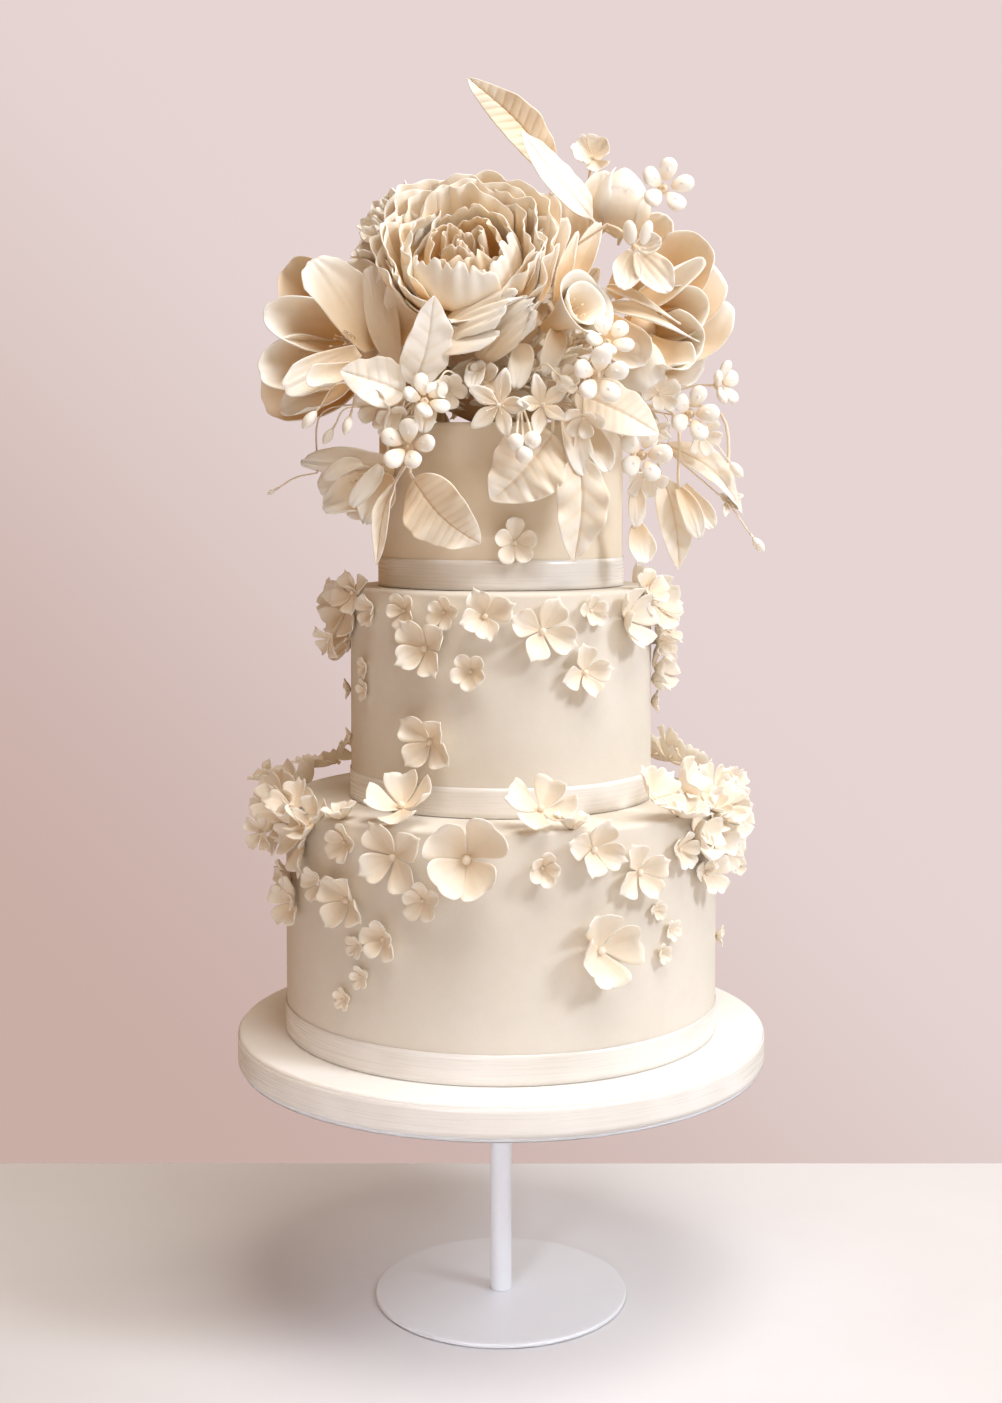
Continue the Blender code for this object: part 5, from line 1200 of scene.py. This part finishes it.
leafRows = {
    "leaf_tall_veined": [
        dict(base=(0.036, -0.002, 0.748), tip=(-0.0215, -0.008, 0.8140), facing=(0.15, -0.98, 0.10),
             width=0.026, arch=0.007, stalk=0.05, fold=0.30, veins=13, sweep=0.005, press=0.0009,
             twist=0.5, wave=0.002, paintedDeepShade=0.60, cols=45, rows=110)],
    "leaf_tall_smooth": [
        dict(base=(0.064, -0.036, 0.712), tip=(0.012, -0.036, 0.772), facing=(0.35, -0.85, 0.40),
             width=0.024, arch=0.003, stalk=0.12, fold=0.14, veins=0, sweep=-0.002, curl=0.10, paintedDeepShade=0.05)],
    "leaf_hanging_left": [
        dict(base=(-0.0560, -0.088, 0.555), tip=(-0.0130, -0.094, 0.512), facing=(-0.30, -0.95, -0.05),
             width=0.040, arch=0.004, stalk=0.06, fold=0.20, veins=12, wave=0.0046, sweep=0.004, paintedDeepShade=0.5,
             cols=45, rows=100),
        dict(base=(-0.0590, -0.083, 0.560), tip=(-0.0775, -0.084, 0.499), facing=(-0.55, -0.85, 0.0),
             width=0.011, arch=0.004, stalk=0.20, fold=0.7, veins=4, sweep=0.004, twist=1.0)],
    "leaf_hanging_centre": [
        dict(base=(0.032, -0.088, 0.580), tip=(-0.0060, -0.094, 0.5385), facing=(-0.05, -1.0, 0.12),
             width=0.046, arch=0.004, stalk=0.0, fold=0.14, veins=8, wave=0.0054, sweep=-0.003)],
    "leaf_hanging_right": [
        dict(base=(0.046, -0.088, 0.578), tip=(0.045, -0.091, 0.501), facing=(0.05, -1.0, 0.05),
             width=0.032, arch=0.006, stalk=0.16, fold=0.26, veins=5, wave=0.0040, sweep=-0.004),
        dict(base=(0.048, -0.088, 0.590), tip=(0.0620, -0.093, 0.534), facing=(0.45, -0.9, 0.0),
             width=0.013, arch=-0.004, stalk=0.10, fold=0.5, veins=4, sweep=0.003, twist=-0.9)],
    "leaves_low_right": [
        dict(base=(0.103, -0.018, 0.560), tip=(0.1170, -0.016, 0.4930), facing=(0.15, -0.98, 0.05),
             width=0.023, arch=0.004, stalk=0.12, fold=0.24, veins=5, sweep=-0.003),
        dict(base=(0.102, -0.014, 0.577), tip=(0.160, -0.004, 0.529), facing=(0.25, -0.90, 0.40),
             width=0.021, arch=0.008, stalk=0.08, fold=0.35, veins=5, sweep=-0.005, twist=0.5)]}


def buildLeaves():
    for seed, (node, leaves) in enumerate(leafRows.items()):
        parts = [leafParts(**leaf, seed=seed * 3 + i) for i, leaf in enumerate(leaves)]
        parts.append(wires([toMound(leaf["base"]) for leaf in leaves], 0.0011))
        addPaste(pieceName(node), parts, node)


buildLeaves()
print("leaves made")


# Sprigs of florets, with their leaves and buds

def plumpFloret(back, facing, width, spin, seed):
    # thick round petals pulled from one piece of paste, with a hollow throat
    # sizes are shares of the floret's width
    petal = {"long": 0.190, "half": 0.160, "thick": 0.100, "out": 0.305, "up": 0.07, "tilt": -24}
    rng = np.random.default_rng(700 + seed)
    place = facingMatrix(back, facing, spin)
    parts = []

    def pulled(ball):
        # narrower towards the throat, dished on its upper face
        x, y, z = ball[..., 0], ball[..., 1], ball[..., 2]
        narrow = 0.56 + 0.44 * np.clip((x + 1) / 1.5, 0, 1) ** 0.8
        return np.stack([x, y * narrow, z * (0.7 + 0.3 * x)], -1)

    for i in range(5):
        angle = 2 * math.pi * (i + rng.uniform(-0.06, 0.06)) / 5
        size = rng.uniform(0.92, 1.05) * width
        tilt = math.radians(petal["tilt"] + rng.uniform(-8, 8))
        turn = Matrix.Rotation(angle, 4, "Z") @ Matrix.Rotation(tilt, 4, "Y")
        radii = (petal["long"] * size, petal["half"] * size, petal["thick"] * width)
        points, faces, _ = blob((0, 0, 0), radii, None, 18, 12, 0.05, pulled)
        shift = Matrix.Translation((petal["out"] * width, 0, petal["up"] * width))
        # painted warm shade, stronger towards the throat
        reach = np.linalg.norm(points[:, :2] + [petal["out"] * width, 0], axis=1) / (0.5 * width)
        parts.append((moved(points, place @ turn @ shift), faces, np.clip(0.9 - 1.5 * reach, 0, 1)))
    # the throat, and the bead in it, both tinted with painted warm shade
    for wide, tall, up, sides, rings, depth in (
            (0.085, 0.06, 0.035, 12, 8, 0.5), (0.035, 0.045, 0.085, 10, 7, 0.55)):
        parts.append(blob((0, 0, 0), (wide * width, wide * width, tall * width),
                          place @ Matrix.Translation((0, 0, up * width)), sides, rings, depth))
    return parts


def openFloret(back, facing, width, kind, spin, seed, stamens):
    place = facingMatrix(back, facing, spin)
    parts = [blossom(place, width, kind, 5, seed, 0.04)]
    if stamens:
        heart = place @ Matrix.Translation((0, 0, 0.03 * width))
        parts.append(stamenParts(heart, stamens, 0.32 * width, 0.7, seed))
    return parts


def pansyFloret(back, facing):
    # three broad ribbed petals below, two small plump ones above
    x, y, z = (1000 * c for c in back)
    ribbed = {"roll": 20, "bow": 3, "ridge": 0.35, "ridges": 13, "ruffle": 1.4, "round": 0.36, "paintedDeepShade": 0.5}
    lower = ((-8, -26, 19), (22, -27, 22), (16, 4, 14))
    parts = [freePetal((x + 0.1 * dx, y, z + 0.1 * dz), (x + dx, y - 3, z + dz), facing, wide, ribbed, 70 + k)
             for k, (dx, dz, wide) in enumerate(lower)]
    for dx in (-0.003, 0.007):
        lobe = facingMatrix((0, 0, 0), (40 * dx, -0.3, 1))
        parts.append(blob((back[0] + dx, back[1] - 0.001, back[2] + 0.0085), (0.0046, 0.0032, 0.0078), lobe,
                          16, 11, 0.05))
    return [*parts, blob(back, (0.0022,) * 3, None, 12, 8, 0.6)]


def wrappedPod(base, tip, fat):
    # the outer petals close round the pod and overlap in a spiral
    way = Vector(tip) - Vector(base)
    place, tall, parts = flowerMatrix(base, way), way.length, []
    for k in range(4):
        wrap = {"petals": 4, "spread": 66, "twist": 0.25, "round": 0.34, "cols": 25, "rows": 17, "paintedDeepShade": 0.5,
                "ruffle": 0.0005, "vary": 0.03, "line": (
                    (0.002, 0.10 * tall), (2.05 * fat, 0.38 * tall), (0.35 * fat, (1.02 - 0.07 * k) * tall))}
        parts.append(placed(whorlPetal(wrap, k, np.random.default_rng(60 + k)), place))
    return parts


def budParts(base, tip, fat, seed=0, depth=0.05):
    # a closed bud on its own short stalk, pointed, with the seams of its wrapped petals
    base, tip = Vector(base), Vector(tip)
    way = tip - base
    place = facingMatrix(base + 0.62 * way, way, 40 * seed)

    def wrapped(ball):
        x, y, z = ball[..., 0], ball[..., 1], ball[..., 2]
        turn = np.arctan2(y, x) + 0.7 * z
        seam = 1 - 0.10 * np.exp(-((np.mod(turn * 3 / (2 * np.pi), 1) - 0.5) / 0.10) ** 2)
        taper = np.where(z > 0, 1 - 0.45 * z**2, 1 - 0.25 * z**2) * seam
        return np.stack([x * taper, y * taper, z], -1)

    bud = blob((0, 0, 0), (fat, fat, 0.40 * way.length), place, 18, 12, depth, wrapped)
    return [bud, wires([[base, base + 0.3 * way]], 0.0008, 5)]


def buildSprigs():
    # florets: kind, back, facing, width, spin
    sprigs = {
        "sprig_left": {
            "joint": (-0.054, -0.076, 0.600),
            "florets": [("plump", (-0.0570, -0.088, 0.571), (-0.15, -1.0, 0.15), 0.041, 10),
                        ("plump", (-0.0480, -0.088, 0.599), (0.45, -0.80, 0.45), 0.037, 30),
                        ("small", (-0.0760, -0.082, 0.597), (-0.30, -1.0, -0.30), 0.028, 0),
                        ("small", (-0.0640, -0.082, 0.588), (-0.10, -1.0, -0.50), 0.026, 0)],
            "leaves": [dict(base=(-0.0560, -0.080, 0.606), tip=(-0.0430, -0.106, 0.664),
                            facing=(0.30, -0.92, 0.25), width=0.0310, arch=0.004, stalk=0.08, fold=0.16,
                            veins=6, wave=0.0030, sweep=0.003, curl=0.16, twist=-0.5, paintedDeepShade=0.10, cols=33,
                            rows=70),
                       dict(base=(-0.0570, -0.084, 0.604), tip=(-0.0985, -0.092, 0.618),
                            facing=(0.10, -0.95, 0.28), width=0.032, arch=0.003, stalk=0.06, fold=0.14,
                            veins=6, wave=0.0026, paintedDeepShade=0.12)]},
        "sprig_centre": {
            "joint": (0.012, -0.084, 0.600),
            "florets": [("oval", (-0.0010, -0.096, 0.597), (-0.25, -1.0, -0.10), 0.043, 0),
                        ("oval", (0.0250, -0.096, 0.597), (0.25, -1.0, 0.10), 0.040, 36)],
            "buds": [(0.0090, -0.108, 0.574), (0.0190, -0.108, 0.5755), (0.0140, -0.1085, 0.5665)]},
        "sprig_right": {
            "joint": (0.052, -0.084, 0.620),
            "florets": [("plump", (0.0580, -0.104, 0.614), (0.15, -1.0, 0.05), 0.043, 15),
                        ("plump", (0.0640, -0.096, 0.634), (0.30, -0.85, 0.50), 0.038, 40),
                        ("small", (0.0500, -0.100, 0.590), (0.05, -0.8, -0.60), 0.026, 0)]},
        "sprig_top": {
            "joint": (0.088, -0.026, 0.728),
            "florets": [("plump", (0.102, -0.050, 0.735), (0.20, -0.95, 0.20), 0.043, 10)],
            "pods": [((0.076, -0.020, 0.704), (0.080, -0.026, 0.752), 0.0165)]},
        "sprig_ivy": {
            "joint": (0.066, -0.072, 0.710),
            "florets": [("pansy", (0.0820, -0.088, 0.694), (0.10, -1.0, 0.10), 0.046, 0)]},
        "sprig_low_right": {
            "joint": (0.060, -0.070, 0.597),
            "florets": [("plump", (0.088, -0.068, 0.567), (0.20, -1.0, 0.05), 0.042, 0),
                        ("small", (0.090, -0.064, 0.554), (0.20, -0.7, -0.7), 0.028, 0)],
            "leaves": [dict(base=(0.0460, -0.084, 0.605), tip=(0.0970, -0.088, 0.580),
                            facing=(0.20, -0.95, 0.30), width=0.033, arch=0.004, stalk=0.0, fold=0.14,
                            veins=10, wave=0.0020)]},
        "sprig_far_right": {
            "joint": (0.108, -0.004, 0.606),
            "florets": [("plump", (0.121, -0.036, 0.594), (0.25, -0.95, 0.05), 0.042, 0),
                        ("plump", (0.141, -0.010, 0.614), (0.80, -0.58, 0.10), 0.038, 20),
                        ("small", (0.130, -0.026, 0.581), (0.55, -0.7, -0.4), 0.026, 0)]},
    }
    for seed, (node, sprig) in enumerate(sprigs.items()):
        joint, parts, paths = Vector(sprig["joint"]), [], []
        for i, (kind, back, facing, width, spin) in enumerate(sprig["florets"]):
            if kind == "plump":
                parts += plumpFloret(back, facing, width, spin, 5 * seed + i)
            elif kind == "pansy":
                parts += pansyFloret(back, facing)
            else:
                parts += openFloret(back, facing, width, kind, spin, 5 * seed + i, 7 if kind == "oval" else 0)
            back = Vector(back)
            paths.append(bend([joint, joint.lerp(back, 0.5) + Vector((0, 0, 0.003)), back]))
        for i, leaf in enumerate(sprig.get("leaves", [])):
            parts.append(leafParts(**leaf, seed=20 + 3 * seed + i))
        for i, centre in enumerate(sprig.get("buds", [])):
            parts.append(blob(centre, (0.0055,) * 3, facingMatrix((0, 0, 0), (0.3 * i, -1, -0.5)), 16, 11,
                              0.02))
            paths.append(bend([joint, joint.lerp(Vector(centre), 0.6) + Vector((0, -0.004, 0.002)), centre]))
        for base, tip, fat in sprig.get("pods", []):
            parts += budParts(base, tip, fat, seed, 0.15) + wrappedPod(base, tip, fat)
            paths.append([joint, Vector(base)])
        parts.append(wires([toMound(joint), *paths], 0.0009))
        addPaste(pieceName(node), parts, node)


buildSprigs()
print("sprigs made")


# Trumpet flower, tendrils and hanging petals that the big pieces leave between them

def buildSmallExtras():
    rng = np.random.default_rng(77)
    place = flowerMatrix((0.0270, -0.068, 0.6460), (0.62, -0.72, 0.32))
    coil = {"petals": 1, "spread": 200, "line": ((0.0026, 0.0), (0.0070, 0.026), (0.0225, 0.044)),
            "twist": 0.3, "round": 0.10, "power": 1.6, "ruffle": 0.0012, "cols": 61, "rows": 19,
            "thick": 0.0013, "vary": 0.0}
    parts = []
    for share, turn in ((1.0, 0), (0.66, 110)):
        line = tuple((r * share, h * (0.86 + 0.14 * share)) for r, h in coil["line"])
        arc = (turn - 60, turn + 300)
        parts.append(placed(whorlPetal({**coil, "line": line, "arc": arc}, 0, rng), place))
    parts.append(stamenParts(place @ Matrix.Translation((0, 0, 0.014)), 5, 0.020, 0.25, 3))
    stem = bend([(0.0300, -0.072, 0.649), (0.024, -0.060, 0.640), (0.018, -0.044, 0.636)])
    parts.append(wires([stem], 0.0016, 8))
    addPaste("sugarTrumpetFlower", parts)

    # thin wires that loop out of the posy and end in a small bud
    loops = [
        ((-0.080, -0.070, 0.607), (-0.101, -0.080, 0.611), (-0.112, -0.082, 0.597), 0.0052),
        ((-0.076, -0.072, 0.605), (-0.088, -0.086, 0.608), (-0.092, -0.088, 0.594), 0.0046),
        ((-0.082, -0.060, 0.598), (-0.098, -0.066, 0.596), (-0.104, -0.068, 0.586), 0.0042),
        ((-0.118, -0.044, 0.556), (-0.132, -0.042, 0.553), (-0.144, -0.040, 0.546), 0.0022),
        ((0.016, -0.074, 0.612), (0.026, -0.096, 0.622), (0.034, -0.100, 0.616), 0.0040),
        ((-0.020, -0.072, 0.610), (-0.032, -0.092, 0.618), (-0.038, -0.098, 0.612), 0.0040),
        ((0.112, -0.020, 0.592), (0.136, -0.018, 0.580), (0.148, -0.016, 0.566), 0.0050),
        ((0.110, -0.016, 0.570), (0.148, -0.008, 0.538), (0.1655, -0.004, 0.516), 0.0046),
        ((0.044, -0.030, 0.690), (0.058, -0.034, 0.716), (0.055, -0.034, 0.730), 0.0034)]
    parts, paths = [], []
    for i, (start, middle, end, fat) in enumerate(loops):
        paths += [toMound(start), bend([start, middle, end])]
        way = (Vector(end) - Vector(middle)).normalized()
        parts += budParts(end, Vector(end) + 3.4 * fat * way, 0.72 * fat, 30 + i)
    parts.append(wires(paths, 0.0006))
    addPaste("sugarTendrils", parts)

    # loose petals and small flowers hanging at the right and standing at the top
    hanging = [
        ((84, -60, 548), (86, -62, 522), (0.25, -0.95, 0.1), 13,
         {"roll": 40, "bow": -3, "ruffle": 1.0, "paintedDeepShade": 0.6}),
        ((86, -60, 524), (92, -62, 499), (0.25, -0.95, 0.2), 19,
         {"roll": 35, "bow": 3, "ruffle": 1.2, "paintedDeepShade": 0.6}),
        ((116, -22, 546), (130, -24, 514), (0.10, -0.98, 0.1), 17,
         {"roll": 60, "bow": -4, "ruffle": 1.6, "paintedDeepShade": 0.6}),
        ((120, -18, 548), (140, -16, 520), (0.30, -0.95, 0.1), 15,
         {"roll": 40, "bow": 4, "ruffle": 1.6, "paintedDeepShade": 0.6}),
        ((40, -82, 592), (52, -94, 553), (0.20, -0.97, 0.1), 19,
         {"roll": 45, "bow": -3, "ruffle": 1.2, "paintedDeepShade": 0.5}),
        ((52, -84, 590), (66, -92, 556), (0.30, -0.95, 0.1), 17,
         {"roll": 40, "bow": 3, "ruffle": 1.2, "paintedDeepShade": 0.6}),
        ((-60, -78, 602), (-71, -90, 576), (-0.30, -0.92, 0.1), 11,
         {"roll": 60, "bow": -3, "twist": 0.7, "paintedDeepShade": 0.5}),
        ((-46, -80, 604), (-48, -92, 580), (0.10, -0.97, 0.1), 15,
         {"roll": 40, "bow": -3, "ruffle": 1.2, "paintedDeepShade": 0.7}),
        ((-12, -74, 624), (-18, -92, 607), (-0.2, -0.80, 0.5), 14,
         {"roll": 45, "bow": -3, "ruffle": 1.0, "paintedDeepShade": 0.5}),
        ((12, -72, 636), (10, -94, 610), (0.3, -0.85, 0.4), 18,
         {"roll": 55, "bow": -4, "curl": 4, "paintedDeepShade": 0.5}),
        ((34, -70, 646), (28, -92, 618), (0.4, -0.85, 0.3), 16,
         {"roll": 50, "bow": -4, "curl": 3, "paintedDeepShade": 0.6}),
        ((60, -18, 712), (66, -18, 752), (-0.2, -0.95, 0.1), 24,
         {"roll": 25, "bow": -3, "ruffle": 1.4, "paintedDeepShade": 0.6}),
        ((50, -20, 704), (44, -20, 748), (0.1, -0.97, 0.1), 20,
         {"roll": 25, "bow": -3, "ruffle": 1.4, "paintedDeepShade": 0.6}),
        ((92, -20, 700), (108, -24, 722), (-0.2, -0.95, 0.1), 24,
         {"roll": 35, "bow": 4, "ruffle": 1.4, "paintedDeepShade": 0.9})]
    parts = [freePetal(*petal, seed=600 + i) for i, petal in enumerate(hanging)]
    florets = [((0.0605, 0.004, 0.7640), (-0.10, -0.85, 0.50), 0.030, "round"),
               ((0.1500, -0.006, 0.5380), (0.60, -0.75, 0.20), 0.024, "oval"),
               ((-0.0100, -0.084, 0.6110), (-0.30, -0.90, 0.40), 0.026, "small"),
               ((-0.0330, -0.080, 0.6080), (0.20, -0.95, -0.10), 0.024, "small"),
               ((0.0380, -0.088, 0.6120), (0.40, -0.90, 0.10), 0.022, "small"),
               ((0.1000, -0.052, 0.6060), (0.30, -0.90, -0.10), 0.026, "small"),
               ((0.0980, -0.050, 0.5830), (0.30, -0.90, -0.30), 0.024, "oval")]
    for i, (back, facing, width, kind) in enumerate(florets):
        parts += openFloret(back, facing, width, kind, 20 * i, 80 + i, 5)
    stems = [(0.084, -0.060, 0.548), (0.116, -0.022, 0.546), *[floret[0] for floret in florets[1:]]]
    tallStem = bend([florets[0][0], (0.056, 0.000, 0.738), (0.046, -0.004, 0.700), (0.03, 0.0, 0.67)])
    parts.append(wires([*[toMound(stem) for stem in stems[:2]], tallStem,
                        *[toMound(stem) for stem in stems[2:]]],
                       0.0012))
    addPaste("sugarLoosePetals", parts)


buildSmallExtras()
print("small extras made")


# The filler between the flowers: leaves, florets and buds packed over the mound

def buildFiller():
    filler = {"leaves": 120, "florets": 58, "buds": 70, "seed": 8, "longest": 0.040, "top": 0.97,
              "reach": 1.62}
    goldenAngle = 2.39996
    rng = np.random.default_rng(filler["seed"])

    def lumpy(ball):
        x, y, z = ball[..., 0], ball[..., 1], ball[..., 2]
        lump = 1 + 0.05 * np.sin(3 * np.arctan2(y, x) + 3.5 * z) * (1 - np.abs(z))
        lump = lump + 0.02 * np.sin(9 * x + 4) * np.sin(8 * y + 1) * np.sin(10 * z)
        return ball * lump[..., None]

    # the mound's core is tinted with painted warm shade where it shows between the sprays
    core = blob(tuple(moundCentre), tuple(0.93 * r for r in moundRadii), None, 56, 30, 0.6, lumpy)
    core[0][:, 2] = np.maximum(core[0][:, 2], posyFoot)
    parts, paths = [core], []
    centre, radii = np.array(moundCentre), np.array(moundRadii)
    total = filler["leaves"] + filler["florets"] + filler["buds"]
    for number, i in enumerate(rng.permutation(total)):
        height = filler["top"] - filler["reach"] * (i + 0.5) / total
        angle = goldenAngle * i + rng.uniform(-0.2, 0.2)
        flat = math.sqrt(max(0.0, 1 - height**2))
        way = np.array([flat * math.cos(angle), flat * math.sin(angle), height])
        foot = centre + 0.92 * radii * way
        foot[2] = max(foot[2], posyFoot + 0.004)
        out = Vector(way + rng.normal(0, 0.25, 3))
        if foot[2] < posyFoot + 0.02:
            out.z = abs(out.z) + 0.1
        out.normalize()
        foot = Vector(foot)
        if number < filler["leaves"]:
            side = out.cross(Vector(rng.normal(0, 1, 3))).normalized()
            length = rng.uniform(0.6, 1.0) * filler["longest"]
            tip = foot + (out * rng.uniform(0.7, 1.0) + side * rng.uniform(0.2, 0.8)).normalized() * length
            tip.z = max(tip.z, posyFoot + 0.002)
            face = side.cross(tip - foot) + 0.3 * Vector(rng.normal(0, 1, 3))
            wide, arch = rng.uniform(0.34, 0.48) * length, 0.004 * rng.uniform(-1, 1)
            parts.append(leafParts(foot, tip, face, wide, arch, stalk=0.1, fold=0.3, wave=0.0015,
                                   curl=rng.uniform(-0.3, 0.3), veins=4, seed=number, cols=9, rows=11))
        elif number < filler["leaves"] + filler["florets"]:
            back = foot + out * rng.uniform(0.010, 0.026)
            width = rng.uniform(0.022, 0.029)
            face = (out + 0.4 * Vector(rng.normal(0, 1, 3))).normalized()
            kind, petals = (("small", 5), ("oval", 5), ("small", 4))[number % 3]
            parts.append(blossom(facingMatrix(back, face, rng.uniform(0, 90)), width, kind, petals, number))
            paths.append(bend([foot, foot.lerp(back, 0.5) + 0.002 * Vector(rng.normal(0, 1, 3)), back], 4))
        else:
            stalk = foot + out * rng.uniform(0.014, 0.030)
            paths.append(bend([foot, foot.lerp(stalk, 0.5) + 0.003 * Vector(rng.normal(0, 1, 3)), stalk], 4))
            bud = budParts(stalk, stalk + out * rng.uniform(0.008, 0.013), rng.uniform(0.0026, 0.0040),
                           number)
            parts.append(bud[0])
    parts.append(wires(paths, 0.0007, 5))
    addPaste("posyFillerSprays", parts, "posy_filler")


buildFiller()
print("filler made")

for template in templates:
    bpy.data.objects.remove(template)


# Table, light and camera

def makeStage():
    # pale honed stone table, a plain matt surface with very faint clouding
    table = {"halfWide": 2.4, "front": -2.2, "back": 0.24, "thick": 0.03, "colour": "#E8E8EB",
             "cloud": "#DFDDE0"}
    stone, tree, shader = newMaterial("palePlainTable")
    coords = addNode(tree, "ShaderNodeTexCoord")
    cloud = addNode(tree, "ShaderNodeTexNoise", {}, {
        "Vector": coords.outputs["Object"], "Scale": 5.0, "Detail": 6.0, "Roughness": 0.6, "Distortion": 0.8})
    tint = addNode(tree, "ShaderNodeMix", {"data_type": "RGBA"}, {
        0: cloud.outputs["Fac"], 6: linear(table["colour"]), 7: linear(table["cloud"])})
    feed(tree, shader, {"Base Color": tint.outputs[2], "Roughness": 0.6})
    mesh = bpy.data.meshes.new("plainTable")
    x, front, back = table["halfWide"], table["front"], table["back"]
    corners = ((-x, front), (x, front), (x, back), (-x, back))
    mesh.from_pydata([(*corner, z) for z in (0, -table["thick"]) for corner in corners], [],
                     [(0, 1, 2, 3), (7, 6, 5, 4), (0, 4, 5, 1), (1, 5, 6, 2), (2, 6, 7, 3), (3, 7, 4, 0)])
    mesh.materials.append(stone)
    newObject("plainTable", mesh)


def makeLight():
    # each lamp: place, what it points at, size in metres, watts, spread in degrees, colour
    light = {
        "paintedWallShade": "#C9AEA6", "paintedWallLight": "#E6D5D3", "glowLeft": "#CF9D6D", "glowRight": "#F3E4D1",
        "glow": 0.48,
        "key": ((1.72, -1.00, 1.62), (0, 0, 0.45), 0.6, 26.0, 180, "#EFF5FF"),
        "top": ((0.35, -0.80, 2.60), (0, 0, 0.45), 1.6, 41.0, 180, "#FFFDFA"),
        "rim": ((1.3, 0.9, 1.3), (0, 0, 0.45), 0.8, 7.0, 180, "#FFF6EC"),
        "fill": ((-0.40, -2.60, 0.35), (0, 0, 0.45), 1.6, 1.8, 180, "#FFFAF4"),
        "low": ((-0.45, -1.20, 0.36), (0.02, 0.06, -0.03), 0.30, 0.10, 20, "#EEF3FF"),
    }
    world = bpy.data.worlds.new("studio")
    bpy.context.scene.world = world
    world.use_nodes = True
    tree = world.node_tree
    coords = addNode(tree, "ShaderNodeTexCoord")
    parts = addNode(tree, "ShaderNodeSeparateXYZ", {}, {0: coords.outputs["Generated"]})
    share = addNode(tree, "ShaderNodeMapRange", {}, {
        "Value": parts.outputs["X"], "From Min": -0.45, "From Max": 0.45})
    # painted shade on the backdrop: darker towards the lower left
    slant = addNode(tree, "ShaderNodeMath", {"operation": "ADD"}, {
        0: parts.outputs["X"], 1: parts.outputs["Z"]})
    shaded = addNode(tree, "ShaderNodeMapRange", {"interpolation_type": "SMOOTHSTEP"}, {
        "Value": slant.outputs[0], "From Min": -0.50, "From Max": 0.05})
    wall = addNode(tree, "ShaderNodeMix", {"data_type": "RGBA"}, {
        0: shaded.outputs["Result"], 6: linear(light["paintedWallShade"]), 7: linear(light["paintedWallLight"])})
    soft = addNode(tree, "ShaderNodeMix", {"data_type": "RGBA"}, {
        0: share.outputs["Result"], 6: linear(light["glowLeft"]), 7: linear(light["glowRight"])})
    shown = tree.nodes["Background"]
    feed(tree, shown, {"Color": wall.outputs[2]})
    lighting = addNode(tree, "ShaderNodeBackground", {}, {
        "Color": soft.outputs[2], "Strength": light["glow"]})
    # the wall behind, darker towards its lower left as painted shade, is what is seen, and a weaker glow of
    # it is what lights the cake
    path = addNode(tree, "ShaderNodeLightPath")
    either = addNode(tree, "ShaderNodeMixShader", {}, {
        0: path.outputs["Is Camera Ray"], 1: lighting.outputs[0], 2: shown.outputs[0]})
    feed(tree, tree.nodes["World Output"], {"Surface": either.outputs[0]})
    for name in ("key", "top", "rim", "fill", "low"):
        place, aim, size, power, spread, colour = light[name]
        lamp = bpy.data.lights.new(name, "AREA")
        lamp.shape, lamp.size, lamp.energy, lamp.color = "DISK", size, power, linear(colour)[:3]
        lamp.spread = math.radians(spread)
        obj = newObject(name, lamp)
        obj.location = place
        obj.rotation_euler = (Vector(aim) - Vector(place)).to_track_quat("-Z", "Y").to_euler()
        obj.visible_camera = False


def makeCamera():
    # the photograph's own height, tilt and framing
    view = {"lens": 47.47, "shift": -0.0816, "place": (0.0, -1.233, 0.545), "tilt": 87.0}
    camera = bpy.data.cameras.new("camera")
    camera.sensor_fit, camera.sensor_height, camera.sensor_width = "VERTICAL", 36.0, 36.0
    camera.lens, camera.shift_y = view["lens"], view["shift"]
    obj = newObject("camera", camera)
    obj.location = view["place"]
    obj.rotation_euler = (math.radians(view["tilt"]), 0.0, 0.0)
    bpy.context.scene.camera = obj


makeStage()
makeLight()
makeCamera()
bpy.context.scene.view_settings.view_transform = "Standard"
